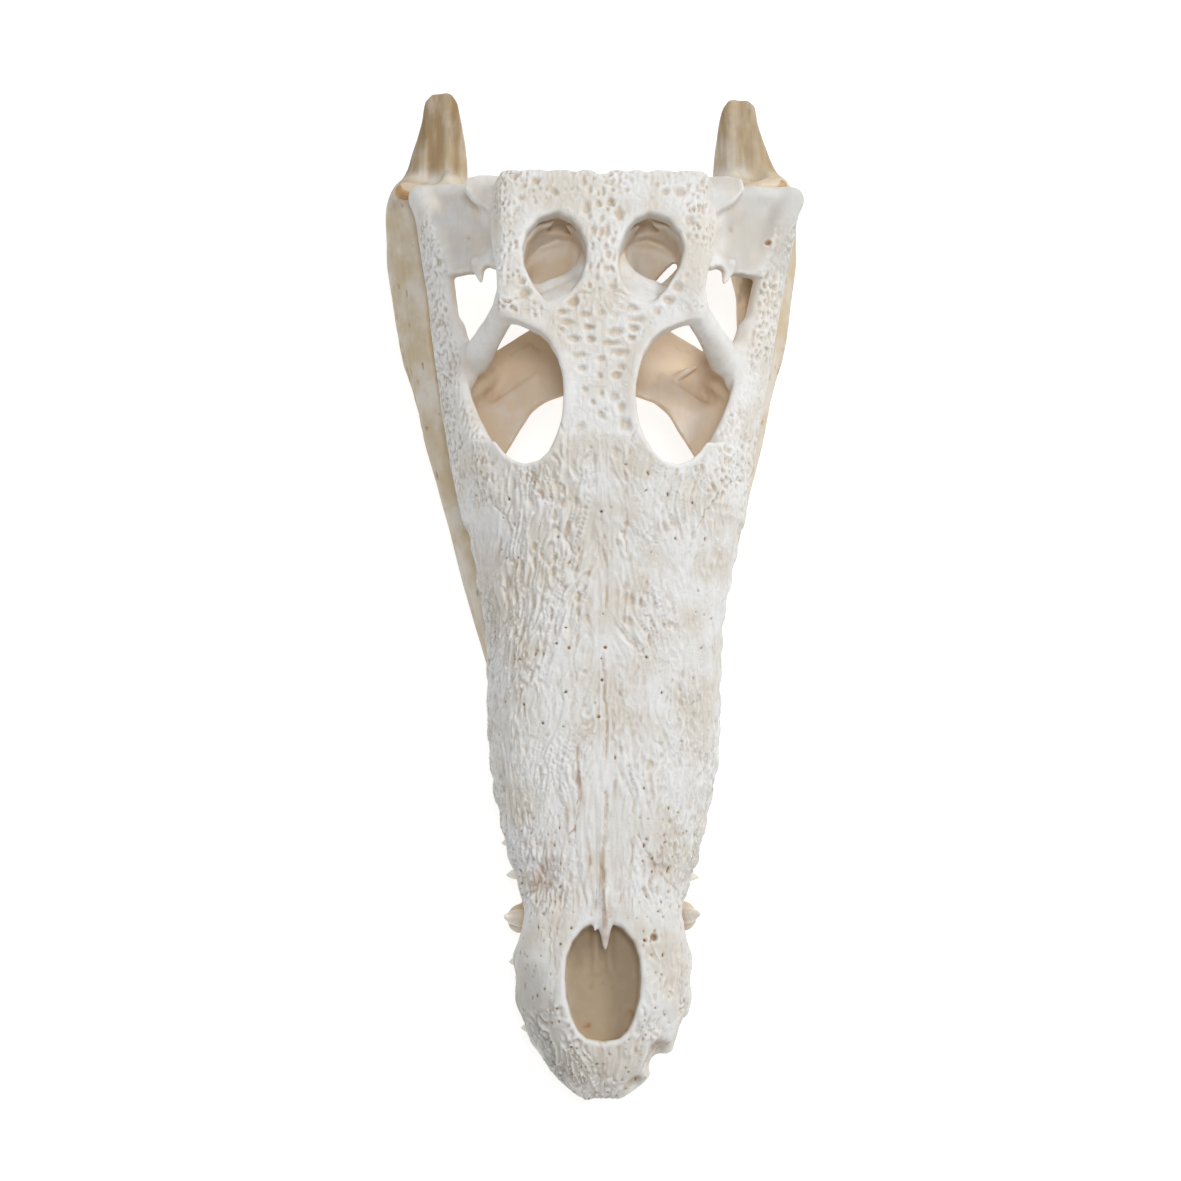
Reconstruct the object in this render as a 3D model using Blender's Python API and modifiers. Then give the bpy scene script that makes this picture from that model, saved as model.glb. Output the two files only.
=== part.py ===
"""Crocodile skull: cranium and the two halves of the lower jaw, closed, lying on its lower jaw.

Sizes are millimetres from the snout tip (y), the midline (x) and the floor (z), and become metres
where a mesh is made. +X is the animal's left side, and +Y runs to the rear of the skull.
The finished skull is moved so that the origin is under its middle.
"""
import math

import bmesh
import bpy
from mathutils import Matrix, Vector

MM = 0.001

# Landmarks along the skull, from the snout tip
NARIS_MIDDLE = 55
JAW_NOTCH = 90
SNOUT_BULGE = 176
ORBIT_MIDDLE = 340
TABLE_FRONT = 377
TABLE_REAR = 448
JAW_JOINT = 461

# Outline of the snout: station, half width
SNOUT_HALF_WIDTH = (
    (0, 9), (7, 20), (24, 32.5), (45, 41.5), (66, 43.5), (JAW_NOTCH, 39.5), (126, 49),
    (SNOUT_BULGE, 58), (228, 60), (270, 67), (318, 76),
)
# Roof of the skull along the midline: station, height
ROOF_HEIGHT = (
    (0, 41), (10, 49), (27, 57), (NARIS_MIDDLE, 62), (95, 62), (150, 68), (205, 76), (255, 86),
    (300, 102), (ORBIT_MIDDLE, 113), (TABLE_FRONT, 119), (TABLE_REAR, 123), (460, 123),
)
# Lower edge of the upper jaw, where its teeth grow: station, height
TOOTH_LINE = (
    (0, 33), (15, 30.5), (66, 30.5), (JAW_NOTCH, 39), (130, 34.5), (SNOUT_BULGE, 33.5), (228, 41),
    (270, 44), (318, 49),
)
SNOUT_BOXINESS = 2.7
JAW_EDGE = 4
PALATE_VAULT = 8
PALATE_FULL_HALF_WIDTH = 30

# Roof plate from the frontal bone to the rear edge of the skull table: station, half width
ROOF_HALF_WIDTH = ((284, 40), (330, 48), (TABLE_FRONT, 53), (TABLE_REAR, 59), (452, 57))
ROOF_THICKNESS = 10
ROOF_SQUARENESS = (0.35, 0.5)
ABOVE_SKULL = 140
ORBIT_CENTRE = (43.5, ORBIT_MIDDLE)
ORBIT_RADII = (27, 34)
ORBIT_FLOOR = 55
TEMPORAL_OPENING_CENTRE = (24.5, 410)
TEMPORAL_OPENING_RADII = (16, 19)
TEMPORAL_FLOOR = 74
NARIS_RADII = (19, 29.5, 23)

# Cheek bar (jugal) down the side of the skull: station, x, height, half thickness, half height
CHEEK_BAR = (
    (286, 60, 66, 9, 19), (312, 66.5, 66, 7.5, 16), (335, 72.5, 66, 6.5, 13.5), (357, 76.5, 67, 6.5, 12.5),
    (380, 80.5, 70, 7, 11), (400, 83.5, 72, 7, 10.5), (430, 89.5, 72.5, 7, 9.5), (461, 96, 70.5, 6, 7),
)
CHEEK_LEAN = math.radians(30)

# Half of the lower jaw: station, inner x, outer x, underside, top
RAMUS = (
    (14, -4, 8, 10, 20), (24, -4, 19, 3, 23.5), (40, -4, 28, 0, 25), (56, -4, 33, 0, 25),
    (72, 11, 35, 1, 26), (JAW_NOTCH, 25, 41, 1, 30), (126, 29, 40.5, 3, 26), (172, 31, 46.5, 4, 27),
    (210, 37, 56, 4, 31), (257, 50, 69, 3, 36), (311, 64, 83, 1, 42), (355, 75, 95, 0, 50),
    (390, 79, 104, 0, 55), (420, 79, 109, 2, 57), (445, 73, 112, 7, 58), (466, 69, 112, 15, 64),
    (477, 68, 109, 20, 63), (487, 67, 102.5, 27, 56), (505, 68, 96, 37, 57), (519, 68.5, 92, 45, 60),
    (527, 70, 89.5, 49, 62), (531, 73, 86, 52, 61),
)
# How far the top of the lower jaw leans in over its base: station, shift
RAMUS_LEAN = ((14, 0), (180, 0), (257, 5), (311, 5), (390, 6), (445, 5), (480, 2), (531, 0))
RAMUS_SQUARENESS = 0.82
# The rear spur at -X is longer than the one at +X
SPUR_ROOT = 478
SPUR_STRETCH = {-1: 1.02, 1: 0.9}
JAW_TURN = math.radians(1.15)
JAW_TURN_STATION = 66
FLOOR_TRIM = 0.8

# Teeth
UPPER_FRONT_TEETH = ((9, 8, 2.3), (18, 20, 2.6), (31, 30.5, 3.0), (48, 37.5, 3.9), (67, 39, 3.0))
UPPER_CHEEK_TEETH = (103, 305, 14)
UPPER_TOOTH_INSET = 4.5
UPPER_TOOTH_RADIUS = 2.7
LARGEST_UPPER_TOOTH = 4.5
BIG_TOOTH_STATION = 168
BIG_TOOTH_SPREAD = 32
LAST_LONG_TOOTH = 230
LOWER_FRONT_TEETH = ((22, 8, 2.8), (38, 20, 2.4), (60, 27, 2.4))
LOWER_CANINE = (88, 41.5, 4.4)
LOWER_CANINE_LENGTH = 17
LOWER_CANINE_SPLAY = 0.42
LOWER_CHEEK_TEETH = (110, 284, 11)
LOWER_CHEEK_RADIUS = 2.4
LOWER_CHEEK_LENGTH = 6
TOOTH_SIDES = 7
TOOTH_TIP = 0.22
TOOTH_ROOT = 5

# Joint between the jaws
JOINT_INNER = Vector((74, JAW_JOINT, 62))
JOINT_OUTER = Vector((96, JAW_JOINT - 1, 64))
JOINT_RADIUS = 6.8
GAP = 0.3

# Fineness of the solids
VOXEL = 2.4
RING_POINTS = 28
STATION_STEP = 6
SMOOTH_PASSES = 5
CRANIUM_FACES = 4100
RAMUS_FACES = 1150
WELD = 0.01

BONE_WHITE = (0.725, 0.694, 0.631, 1.0)
BONE_CREAM = (0.637, 0.571, 0.462, 1.0)
BONE_ROUGHNESS = 0.62


def clear_scene():
    for item in list(bpy.data.objects):
        bpy.data.objects.remove(item, do_unlink=True)


def make_collection(name):
    group = bpy.data.collections.new(name)
    bpy.context.scene.collection.children.link(group)
    return group


def bone_material(name, colour):
    material = bpy.data.materials.new(name)
    material.use_nodes = True
    shader = material.node_tree.nodes["Principled BSDF"]
    shader.inputs["Base Color"].default_value = colour
    shader.inputs["Roughness"].default_value = BONE_ROUGHNESS
    shader.inputs["Metallic"].default_value = 0.0
    return material


def along(profile, station):
    """Smooth value of a profile at a station: cubic pieces with limited slopes, so nothing overshoots."""
    if station <= profile[0][0]:
        return profile[0][1]
    if station >= profile[-1][0]:
        return profile[-1][1]
    index = max(i for i in range(len(profile) - 1) if profile[i][0] <= station)
    steps = [(b[1] - a[1]) / (b[0] - a[0]) for a, b in zip(profile, profile[1:])]

    def slope(i):
        if i == 0 or i == len(profile) - 1:
            return steps[min(i, len(steps) - 1)]
        before, after = steps[i - 1], steps[i]
        if before * after <= 0:
            return 0.0
        return 2 * before * after / (before + after)

    start, end = profile[index], profile[index + 1]
    span = end[0] - start[0]
    t = (station - start[0]) / span
    return (
        start[1] * (2 * t**3 - 3 * t**2 + 1)
        + slope(index) * span * (t**3 - 2 * t**2 + t)
        + end[1] * (3 * t**2 - 2 * t**3)
        + slope(index + 1) * span * (t**3 - t**2)
    )


def column(table, index):
    """One column of a table of stations, as a profile."""
    return tuple((row[0], row[index]) for row in table)


def stations(first, last, step=STATION_STEP):
    count = max(2, round((last - first) / step))
    return [first + (last - first) * i / count for i in range(count + 1)]


def signed_power(value, power):
    return math.copysign(abs(value) ** power, value)


def new_object(name, mesh, group):
    item = bpy.data.objects.new(name, mesh)
    group.objects.link(item)
    return item


def object_from(shape, name, group):
    """A new object from a bmesh, which is used up."""
    mesh = bpy.data.meshes.new(name)
    shape.to_mesh(mesh)
    shape.free()
    return new_object(name, mesh, group)


def mesh_from(name, points, faces, group):
    shape = bmesh.new()
    verts = [shape.verts.new(Vector(p) * MM) for p in points]
    for face in faces:
        shape.faces.new([verts[i] for i in face])
    bmesh.ops.recalc_face_normals(shape, faces=shape.faces)
    return object_from(shape, name, group)


def loft(name, rings, group):
    """Closed solid through rings that all have the same number of points."""
    size = len(rings[0])
    points = [p for ring in rings for p in ring]
    faces = [tuple(range(size))]
    for level in range(len(rings) - 1):
        low, high = level * size, (level + 1) * size
        for i in range(size):
            j = (i + 1) % size
            faces.append((low + i, low + j, high + j, high + i))
    faces.append(tuple(range((len(rings) - 1) * size, len(rings) * size)))
    return mesh_from(name, points, faces, group)


def tube(name, points, radii, group):
    """Round bar through a few points, from a bevelled curve, made a mesh with its caps welded."""
    data = bpy.data.curves.new(name, "CURVE")
    data.dimensions = "3D"
    data.bevel_depth = MM
    data.bevel_resolution = 3
    data.use_fill_caps = True
    data.resolution_u = 5
    spline = data.splines.new("NURBS")
    spline.points.add(len(points) - 1)
    spline.order_u = min(3, len(points))
    spline.use_endpoint_u = True
    for knot, place, radius in zip(spline.points, points, radii):
        knot.co = (*(Vector(place) * MM), 1.0)
        knot.radius = radius
    curve = new_object(name + "_curve", data, group)
    bpy.context.view_layer.update()
    evaluated = curve.evaluated_get(bpy.context.evaluated_depsgraph_get())
    mesh = bpy.data.meshes.new_from_object(evaluated)
    bpy.data.objects.remove(curve, do_unlink=True)
    shape = bmesh.new()
    shape.from_mesh(mesh)
    bmesh.ops.remove_doubles(shape, verts=shape.verts, dist=WELD * MM)
    return object_from(shape, name, group)


def ellipsoid(name, centre, radii, group, segments=24):
    shape = bmesh.new()
    size = Matrix.Diagonal((*(Vector(radii) * MM), 1.0))
    place = Matrix.Translation(Vector(centre) * MM) @ size
    bmesh.ops.create_uvsphere(shape, u_segments=segments, v_segments=segments // 2, radius=1.0, matrix=place)
    return object_from(shape, name, group)


def block(name, corner, other_corner, group):
    """Box between two opposite corners."""
    shape = bmesh.new()
    middle = (Vector(corner) + Vector(other_corner)) / 2 * MM
    spans = [abs(a - b) * MM for a, b in zip(corner, other_corner)]
    size = Matrix.Diagonal((*spans, 1.0))
    bmesh.ops.create_cube(shape, size=1.0, matrix=Matrix.Translation(middle) @ size)
    return object_from(shape, name, group)


def cylinder(name, centre, radii, bottom, top, group, segments=40):
    """Upright oval column."""
    shape = bmesh.new()
    middle = Vector((centre[0], centre[1], (bottom + top) / 2)) * MM
    place = Matrix.Translation(middle) @ Matrix.Diagonal((radii[0] * MM, radii[1] * MM, 1.0, 1.0))
    bmesh.ops.create_cone(
        shape, cap_ends=True, segments=segments, radius1=1.0, radius2=1.0,
        depth=(top - bottom) * MM, matrix=place,
    )
    return object_from(shape, name, group)


def sheet_of_bone(name, corners, thickness, group, sag=0.0, cells=8):
    """Thin curved plate between four corners, thickened on both sides."""
    front_in, front_out, rear_out, rear_in = (Vector(c) for c in corners)
    points = []
    for i in range(cells + 1):
        for j in range(cells + 1):
            u, v = i / cells, j / cells
            front = front_in.lerp(front_out, u)
            rear = rear_in.lerp(rear_out, u)
            place = front.lerp(rear, v)
            place.z -= sag * 4 * u * (1 - u)
            points.append(place)
    width = cells + 1
    faces = []
    for i in range(cells):
        for j in range(cells):
            faces.append((i * width + j, i * width + j + 1, (i + 1) * width + j + 1, (i + 1) * width + j))
    plate = mesh_from(name, points, faces, group)
    thick = plate.modifiers.new("thickness", "SOLIDIFY")
    thick.thickness = thickness * MM
    thick.offset = 0.0
    return plate


def mirrored(point, side):
    return (point[0] * side, point[1], point[2])


def snout(group):
    """Premaxillae, maxillae, nasals and the bones in front of the orbits, as one solid."""
    rings = []
    for y in stations(0, 318):
        half = along(SNOUT_HALF_WIDTH, y)
        top, base = along(ROOF_HEIGHT, y), along(TOOTH_LINE, y)
        vault = PALATE_VAULT * min(1, half / PALATE_FULL_HALF_WIDTH)
        ring = []
        for i in range(RING_POINTS):
            angle = 2 * math.pi * i / RING_POINTS
            x = half * signed_power(math.cos(angle), 2 / SNOUT_BOXINESS)
            if math.sin(angle) >= 0:
                z = base + JAW_EDGE + (top - base - JAW_EDGE) * math.sin(angle) ** (2 / SNOUT_BOXINESS)
            else:
                z = base + vault * (1 - abs(x / half) ** 3)
            ring.append((x, y, z))
        rings.append(ring)
    return loft("snout", rings, group)


def skull_roof(group):
    """Frontal bone and skull table, a thick plate that the orbits and temporal openings cut."""
    rings = []
    for y in stations(ROOF_HALF_WIDTH[0][0], ROOF_HALF_WIDTH[-1][0]):
        half, top = along(ROOF_HALF_WIDTH, y), along(ROOF_HEIGHT, y)
        ring = []
        for i in range(RING_POINTS):
            angle = 2 * math.pi * i / RING_POINTS
            x = half * signed_power(math.cos(angle), ROOF_SQUARENESS[0])
            rise = signed_power(math.sin(angle), ROOF_SQUARENESS[1])
            z = top - ROOF_THICKNESS / 2 * (1 - rise)
            ring.append((x, y, z))
        rings.append(ring)
    return loft("skull_roof", rings, group)


def cheek_bar(side, group):
    """Jugal and quadratojugal along the side of the skull."""
    rings = []
    for y in stations(CHEEK_BAR[0][0], CHEEK_BAR[-1][0]):
        x, z, thick, high = (along(column(CHEEK_BAR, k), y) for k in (1, 2, 3, 4))
        ring = []
        for i in range(16):
            angle = 2 * math.pi * i / 16
            across, up = thick * math.cos(angle), high * math.sin(angle)
            lean_x = across * math.cos(CHEEK_LEAN) - up * math.sin(CHEEK_LEAN)
            lean_z = across * math.sin(CHEEK_LEAN) + up * math.cos(CHEEK_LEAN)
            ring.append((side * (x + lean_x), y, z + lean_z))
        rings.append(ring)
    return loft("cheek_bar", rings, group)


def side_of_skull(side, group):
    """The bars and plates of one side, behind and around the orbit."""
    def at(*points):
        return [mirrored(p, side) for p in points]

    bones = [cheek_bar(side, group)]
    behind_eye = at((44, 382, 112), (56, 378, 98), (74, 367, 73))
    bones.append(tube("postorbital_bar", behind_eye, (6.5, 3.8, 10), group))
    pillar = at((21, 316, 95), (13, 322, 80), (10, 326, 62))
    bones.append(tube("prefrontal_pillar", pillar, (5, 3.5, 4.5), group))
    plate = at((51, 410, 103), (86, 415, 79), (98, 462, 70), (55, 450, 100))
    bones.append(sheet_of_bone("quadrate_plate", plate, 7, group, sag=3))
    bones.append(tube("quadrate_shaft", at((38, 424, 102), (62, 443, 84), (85, 459, 66)), (9, 9, 8), group))
    core = JOINT_RADIUS - 0.2
    bones.append(tube("joint_core", at(JOINT_INNER, JOINT_OUTER), (core, core), group))
    process = at((34, 443, 108), (56, 447, 105), (71, 451, 100))
    bones.append(tube("paroccipital", process, (9, 8, 5.5), group))
    wing = at((0, 361, 59), (61, 342, 48), (62, 394, 44), (0, 418, 62))
    bones.append(sheet_of_bone("pterygoid_wing", wing, 5, group, sag=-2))
    flange = at((59, 350, 46), (61, 374, 43), (61, 394, 44))
    bones.append(tube("pterygoid_flange", flange, (5, 5.5, 5), group))
    front_limb = at((60, 312, 54), (63, 335, 51), (60, 358, 48))
    bones.append(tube("ectopterygoid_front", front_limb, (7, 5.5, 5.5), group))
    limb = at((75, 350, 64), (66, 358, 57), (55, 370, 50))
    bones.append(tube("ectopterygoid", limb, (7, 6, 5), group))
    return bones


def middle_of_skull(group):
    """Braincase, occiput and the bones along the midline of the palate."""
    bones = [ellipsoid("braincase", (0, 415, 100), (16, 38, 22), group)]
    bones.append(ellipsoid("occiput", (0, 441, 106), (54, 8, 17), group))
    bones.append(ellipsoid("occipital_condyle", (0, 456, 92), (8.5, 8.5, 7.5), group))
    bones.append(tube("basioccipital", ((0, 447, 92), (0, 443, 80), (0, 438, 66)), (11, 11, 12), group))
    bones.append(tube("basisphenoid", ((0, 440, 70), (0, 425, 62), (0, 395, 61)), (12, 10, 8), group))
    bones.append(tube("palatine_bar", ((0, 200, 57), (0, 280, 59), (0, 365, 61)), (15, 12.5, 12.5), group))
    return bones


def skull_cutters(group):
    """What is cut out of the cranium: nostril, orbits, temporal and palate openings, foramen magnum."""
    cutters = [ellipsoid("naris_cut", (0, NARIS_MIDDLE, 63), NARIS_RADII, group, 32)]
    cutters.append(ellipsoid("foramen_magnum_cut", (0, 456, 105), (7.5, 14, 6), group))
    cutters.append(ellipsoid("choana_cut", (0, 409, 53), (8, 9, 6), group))
    cutters.append(ellipsoid("broken_socket_cut", (30, 15, 44), (9.5, 9, 17), group))
    for side in (-1, 1):
        x, y = ORBIT_CENTRE
        cutters.append(cylinder("orbit_cut", (side * x, y), ORBIT_RADII, ORBIT_FLOOR, ABOVE_SKULL, group))
        x, y = TEMPORAL_OPENING_CENTRE
        radii, floor = TEMPORAL_OPENING_RADII, TEMPORAL_FLOOR
        cutters.append(cylinder("temporal_cut", (side * x, y), radii, floor, ABOVE_SKULL, group))
        bore = [mirrored(p, side) for p in ((28, 222, 50), (31, 248, 52), (35, 285, 54), (38, 334, 54))]
        cutters.append(tube("palate_cut", bore, (3, 13, 17, 19), group))
    return cutters


def ramus(side, group):
    """One half of the lower jaw, from the symphysis to the retroarticular process."""
    rings = []
    for y in stations(RAMUS[0][0], RAMUS[-1][0]):
        inner, outer, base, top = (along(column(RAMUS, k), y) for k in (1, 2, 3, 4))
        lean = along(RAMUS_LEAN, y)
        stretch = SPUR_STRETCH[side] if y > SPUR_ROOT else 1
        centre, half = (inner + outer) / 2, (outer - inner) / 2
        middle, high = (top + base) / 2, (top - base) / 2
        ring = []
        for i in range(RING_POINTS):
            angle = 2 * math.pi * i / RING_POINTS
            across = signed_power(math.cos(angle), RAMUS_SQUARENESS)
            up = signed_power(math.sin(angle), RAMUS_SQUARENESS)
            x = centre + half * across - lean * max(0.0, up)
            ring.append((side * x, SPUR_ROOT + (y - SPUR_ROOT) * stretch, middle + high * up))
        rings.append(ring)
    return loft("ramus", rings, group)


def ramus_cutters(side, group):
    """Outer window, the trough between the bones of the rear, and the hollow on the rear spur."""
    def at(*points):
        return [mirrored(p, side) for p in points]

    cutters = [ellipsoid("jaw_window_cut", mirrored((90, 366, 30), side), (30, 20, 8), group)]
    cutters.append(tube("trough_cut", at((79, 362, 57), (82, 395, 62), (84, 432, 66)), (6, 9, 8), group))
    hollow = at((87, 484, 66), (83, 502, 65), (80, 536, 71))
    cutters.append(tube("spur_hollow_cut", hollow, (12, 12, 10), group))
    return cutters


def tooth(shape, root, tip, radius):
    """A blunt cone from the root, inside the bone, to the tip."""
    axis = tip - root
    turn = axis.to_track_quat("Z", "Y").to_matrix().to_4x4()
    place = Matrix.Translation((root + tip) / 2 * MM) @ turn
    bmesh.ops.create_cone(
        shape, cap_ends=True, segments=TOOTH_SIDES, radius1=radius * MM, radius2=radius * TOOTH_TIP * MM,
        depth=axis.length * MM, matrix=place,
    )


def upper_teeth(group):
    shape = bmesh.new()
    first, last, count = UPPER_CHEEK_TEETH
    rows = list(UPPER_FRONT_TEETH)
    for i in range(count):
        y = first + (last - first) * i / (count - 1)
        large = math.exp(-(((y - BIG_TOOTH_STATION) / BIG_TOOTH_SPREAD) ** 2))
        radius = UPPER_TOOTH_RADIUS + (LARGEST_UPPER_TOOTH - UPPER_TOOTH_RADIUS) * large
        rows.append((y, along(SNOUT_HALF_WIDTH, y) - UPPER_TOOTH_INSET, radius))
    for side in (-1, 1):
        for y, x, radius in rows:
            base = along(TOOTH_LINE, y)
            length = 3.1 * radius - 1.0 if y < LAST_LONG_TOOTH else 5.5
            splay = 0.16 if y < LAST_LONG_TOOTH else 0.05
            root = Vector((side * (x - TOOTH_ROOT * splay), y, base + TOOTH_ROOT))
            tip = Vector((side * (x + length * splay), y + 0.5, base - length))
            tooth(shape, root, tip, radius)
    return object_from(shape, "upper_teeth", group)


def lower_teeth(side, group):
    shape = bmesh.new()
    rows = [(y, x, r, 3.2 * r, 0.0) for y, x, r in LOWER_FRONT_TEETH]
    y, x, radius = LOWER_CANINE
    rows.append((y, x, radius, LOWER_CANINE_LENGTH, LOWER_CANINE_SPLAY))
    first, last, count = LOWER_CHEEK_TEETH
    for i in range(count):
        y = first + (last - first) * i / (count - 1)
        inner, outer = along(column(RAMUS, 1), y), along(column(RAMUS, 2), y)
        x = (inner + outer) / 2 - along(RAMUS_LEAN, y)
        rows.append((y, x, LOWER_CHEEK_RADIUS, LOWER_CHEEK_LENGTH, 0.0))
    for y, x, radius, length, splay in rows:
        top = along(column(RAMUS, 4), y) - 0.5
        root = Vector((side * (x - TOOTH_ROOT * splay), y, top - TOOTH_ROOT))
        tip = Vector((side * (x + length * splay), y, top + length))
        tooth(shape, root, tip, radius)
    return object_from(shape, "lower_teeth", group)


def joint_head(side, extra, group):
    """The rounded end of the quadrate that the lower jaw turns on: a ball stretched along the joint."""
    inner, outer = Vector(mirrored(JOINT_INNER, side)), Vector(mirrored(JOINT_OUTER, side))
    axis = outer - inner
    shape = bmesh.new()
    bmesh.ops.create_uvsphere(shape, u_segments=14, v_segments=9, radius=(JOINT_RADIUS + extra) * MM)
    for vert in shape.verts:
        vert.co.z += math.copysign(axis.length / 2 * MM, vert.co.z)
    turn = axis.to_track_quat("Z", "Y").to_matrix().to_4x4()
    bmesh.ops.transform(shape, matrix=Matrix.Translation((inner + outer) / 2 * MM) @ turn, verts=shape.verts)
    return object_from(shape, "joint_head", group)


def evaluated_copy(item):
    bpy.context.view_layer.update()
    evaluated = item.evaluated_get(bpy.context.evaluated_depsgraph_get())
    return bpy.data.meshes.new_from_object(evaluated)


def apply_modifiers(item):
    mesh = evaluated_copy(item)
    item.modifiers.clear()
    item.data = mesh


def join(name, pieces, group):
    """All pieces in one object, still overlapping."""
    shape = bmesh.new()
    for piece in pieces:
        mesh = evaluated_copy(piece)
        mesh.transform(piece.matrix_world)
        shape.from_mesh(mesh)
        bpy.data.objects.remove(piece, do_unlink=True)
    return object_from(shape, name, group)


def boolean(item, other, operation):
    """Add or cut away another piece, which is used up."""
    step = item.modifiers.new(operation.lower(), "BOOLEAN")
    step.operation = operation
    step.solver = "EXACT"
    step.object = other
    apply_modifiers(item)
    bpy.data.objects.remove(other, do_unlink=True)


def add_on(item, other):
    boolean(item, other, "UNION")


def cut_off(item, other):
    boolean(item, other, "DIFFERENCE")


def fuse(item):
    """Run overlapping pieces together into one skin."""
    step = item.modifiers.new("fuse", "REMESH")
    step.mode = "VOXEL"
    step.voxel_size = VOXEL * MM
    apply_modifiers(item)


def soften(item):
    step = item.modifiers.new("soften", "SMOOTH")
    step.factor = 0.5
    step.iterations = SMOOTH_PASSES
    apply_modifiers(item)


def lighten(item, faces):
    """Fewer triangles, keeping the shape."""
    triangles = sum(len(p.vertices) - 2 for p in item.data.polygons)
    step = item.modifiers.new("lighten", "DECIMATE")
    step.ratio = faces / triangles
    apply_modifiers(item)


def keep_largest(item):
    """Drop crumbs that a cut leaves loose."""
    shape = bmesh.new()
    shape.from_mesh(item.data)
    left = set(shape.verts)
    islands = []
    while left:
        start = left.pop()
        island, edge = [start], [start]
        while edge:
            vert = edge.pop()
            for link in vert.link_edges:
                other = link.other_vert(vert)
                if other in left:
                    left.remove(other)
                    island.append(other)
                    edge.append(other)
        islands.append(island)
    islands.sort(key=len, reverse=True)
    for island in islands[1:]:
        bmesh.ops.delete(shape, geom=island, context="VERTS")
    shape.to_mesh(item.data)
    shape.free()


def build_cranium(bones, cutters, material):
    pieces = [snout(bones), skull_roof(bones)]
    pieces += middle_of_skull(bones)
    for side in (-1, 1):
        pieces += side_of_skull(side, bones)
    cranium = join("cranium", pieces, bones)
    fuse(cranium)
    cuts = join("cranium_cuts", skull_cutters(cutters), cutters)
    fuse(cuts)
    cut_off(cranium, cuts)
    fuse(cranium)
    soften(cranium)
    keep_largest(cranium)
    lighten(cranium, CRANIUM_FACES)
    for side in (-1, 1):
        add_on(cranium, joint_head(side, 0.0, cutters))
    add_on(cranium, upper_teeth(cutters))
    cranium.data.materials.clear()
    cranium.data.materials.append(material)
    return cranium


def build_ramus(name, side, bones, cutters, material):
    half = join(name, [ramus(side, bones)], bones)
    fuse(half)
    for cutter in ramus_cutters(side, cutters):
        cut_off(half, cutter)
    fuse(half)
    soften(half)
    keep_largest(half)
    lighten(half, RAMUS_FACES)
    add_on(half, lower_teeth(side, cutters))
    cut_off(half, block("midline", (-side * 40, -20, -20), (side * GAP / 2, 120, 60), cutters))
    cut_off(half, block("floor", (-150, -20, -20), (150, 600, FLOOR_TRIM), cutters))
    about = Vector((0, JAW_TURN_STATION, 0)) * MM
    turn = Matrix.Translation(about) @ Matrix.Rotation(JAW_TURN, 4, "Z") @ Matrix.Translation(-about)
    half.data.transform(turn)
    cut_off(half, joint_head(side, GAP, cutters))
    half.data.materials.clear()
    half.data.materials.append(material)
    return half


def stand_on_origin(nodes, group):
    """Hang the bones from one empty, so that the origin is on the floor under the skull's middle."""
    corners = [vert.co for node in nodes for vert in node.data.vertices]
    low = Vector([min(c[k] for c in corners) for k in range(3)])
    high = Vector([max(c[k] for c in corners) for k in range(3)])
    base = new_object("skull_base", None, group)
    base.location = (-(low.x + high.x) / 2, -(low.y + high.y) / 2, -low.z)
    for node in nodes:
        node.parent = base


def main():
    clear_scene()
    bones = make_collection("crocodile_skull")
    cutters = make_collection("cutters")
    white = bone_material("bleached_bone", BONE_WHITE)
    cream = bone_material("cream_bone", BONE_CREAM)
    nodes = [build_cranium(bones, cutters, white)]
    nodes.append(build_ramus("mandible_right", -1, bones, cutters, cream))
    nodes.append(build_ramus("mandible_left", 1, bones, cutters, cream))
    stand_on_origin(nodes, bones)


main()
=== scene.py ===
"""Crocodile skull: the visible bones of a still, life-size model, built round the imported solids.

The bones are first modelled as distances on a grid: bars, plates and skins that run into one another,
and openings that are cut from them. The skin of that solid is then pitted and grooved, and the cranium
is cut across into pieces. Sizes are millimetres from the snout tip (y), the midline (x) and the floor
(z), and become metres in the row frame where a mesh is made. +X is the animal's left side.
"""

import itertools
import math

import bmesh
import bpy
import numpy as np
import openvdb
from bpy.props import FloatProperty, FloatVectorProperty, IntProperty, PointerProperty
from bpy.types import Operator, Panel, PropertyGroup
from mathutils import Matrix, Vector


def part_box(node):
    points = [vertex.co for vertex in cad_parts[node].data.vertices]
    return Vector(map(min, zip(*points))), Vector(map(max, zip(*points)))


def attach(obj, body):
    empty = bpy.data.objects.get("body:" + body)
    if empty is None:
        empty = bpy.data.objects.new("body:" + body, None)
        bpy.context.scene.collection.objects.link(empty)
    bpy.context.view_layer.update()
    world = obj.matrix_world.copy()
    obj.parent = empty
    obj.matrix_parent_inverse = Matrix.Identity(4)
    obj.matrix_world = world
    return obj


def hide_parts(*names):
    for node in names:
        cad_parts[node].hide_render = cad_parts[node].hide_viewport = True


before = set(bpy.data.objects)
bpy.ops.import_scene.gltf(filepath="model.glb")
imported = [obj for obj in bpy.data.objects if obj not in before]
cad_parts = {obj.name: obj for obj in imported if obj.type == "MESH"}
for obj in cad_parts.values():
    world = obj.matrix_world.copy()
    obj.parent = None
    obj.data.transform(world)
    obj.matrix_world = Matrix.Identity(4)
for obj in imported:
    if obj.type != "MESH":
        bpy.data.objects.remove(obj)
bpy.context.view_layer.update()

bl_info = {
    "name": "Crocodile Skull",
    "version": (1, 0, 0),
    "blender": (4, 5, 0),
    "location": "3D View > Sidebar > Skull",
    "description": "Builds the bones, teeth and stage of a life-size crocodile skull",
    "category": "Object",
}

MM = 0.001
SIDES = (-1, 1)

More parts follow.
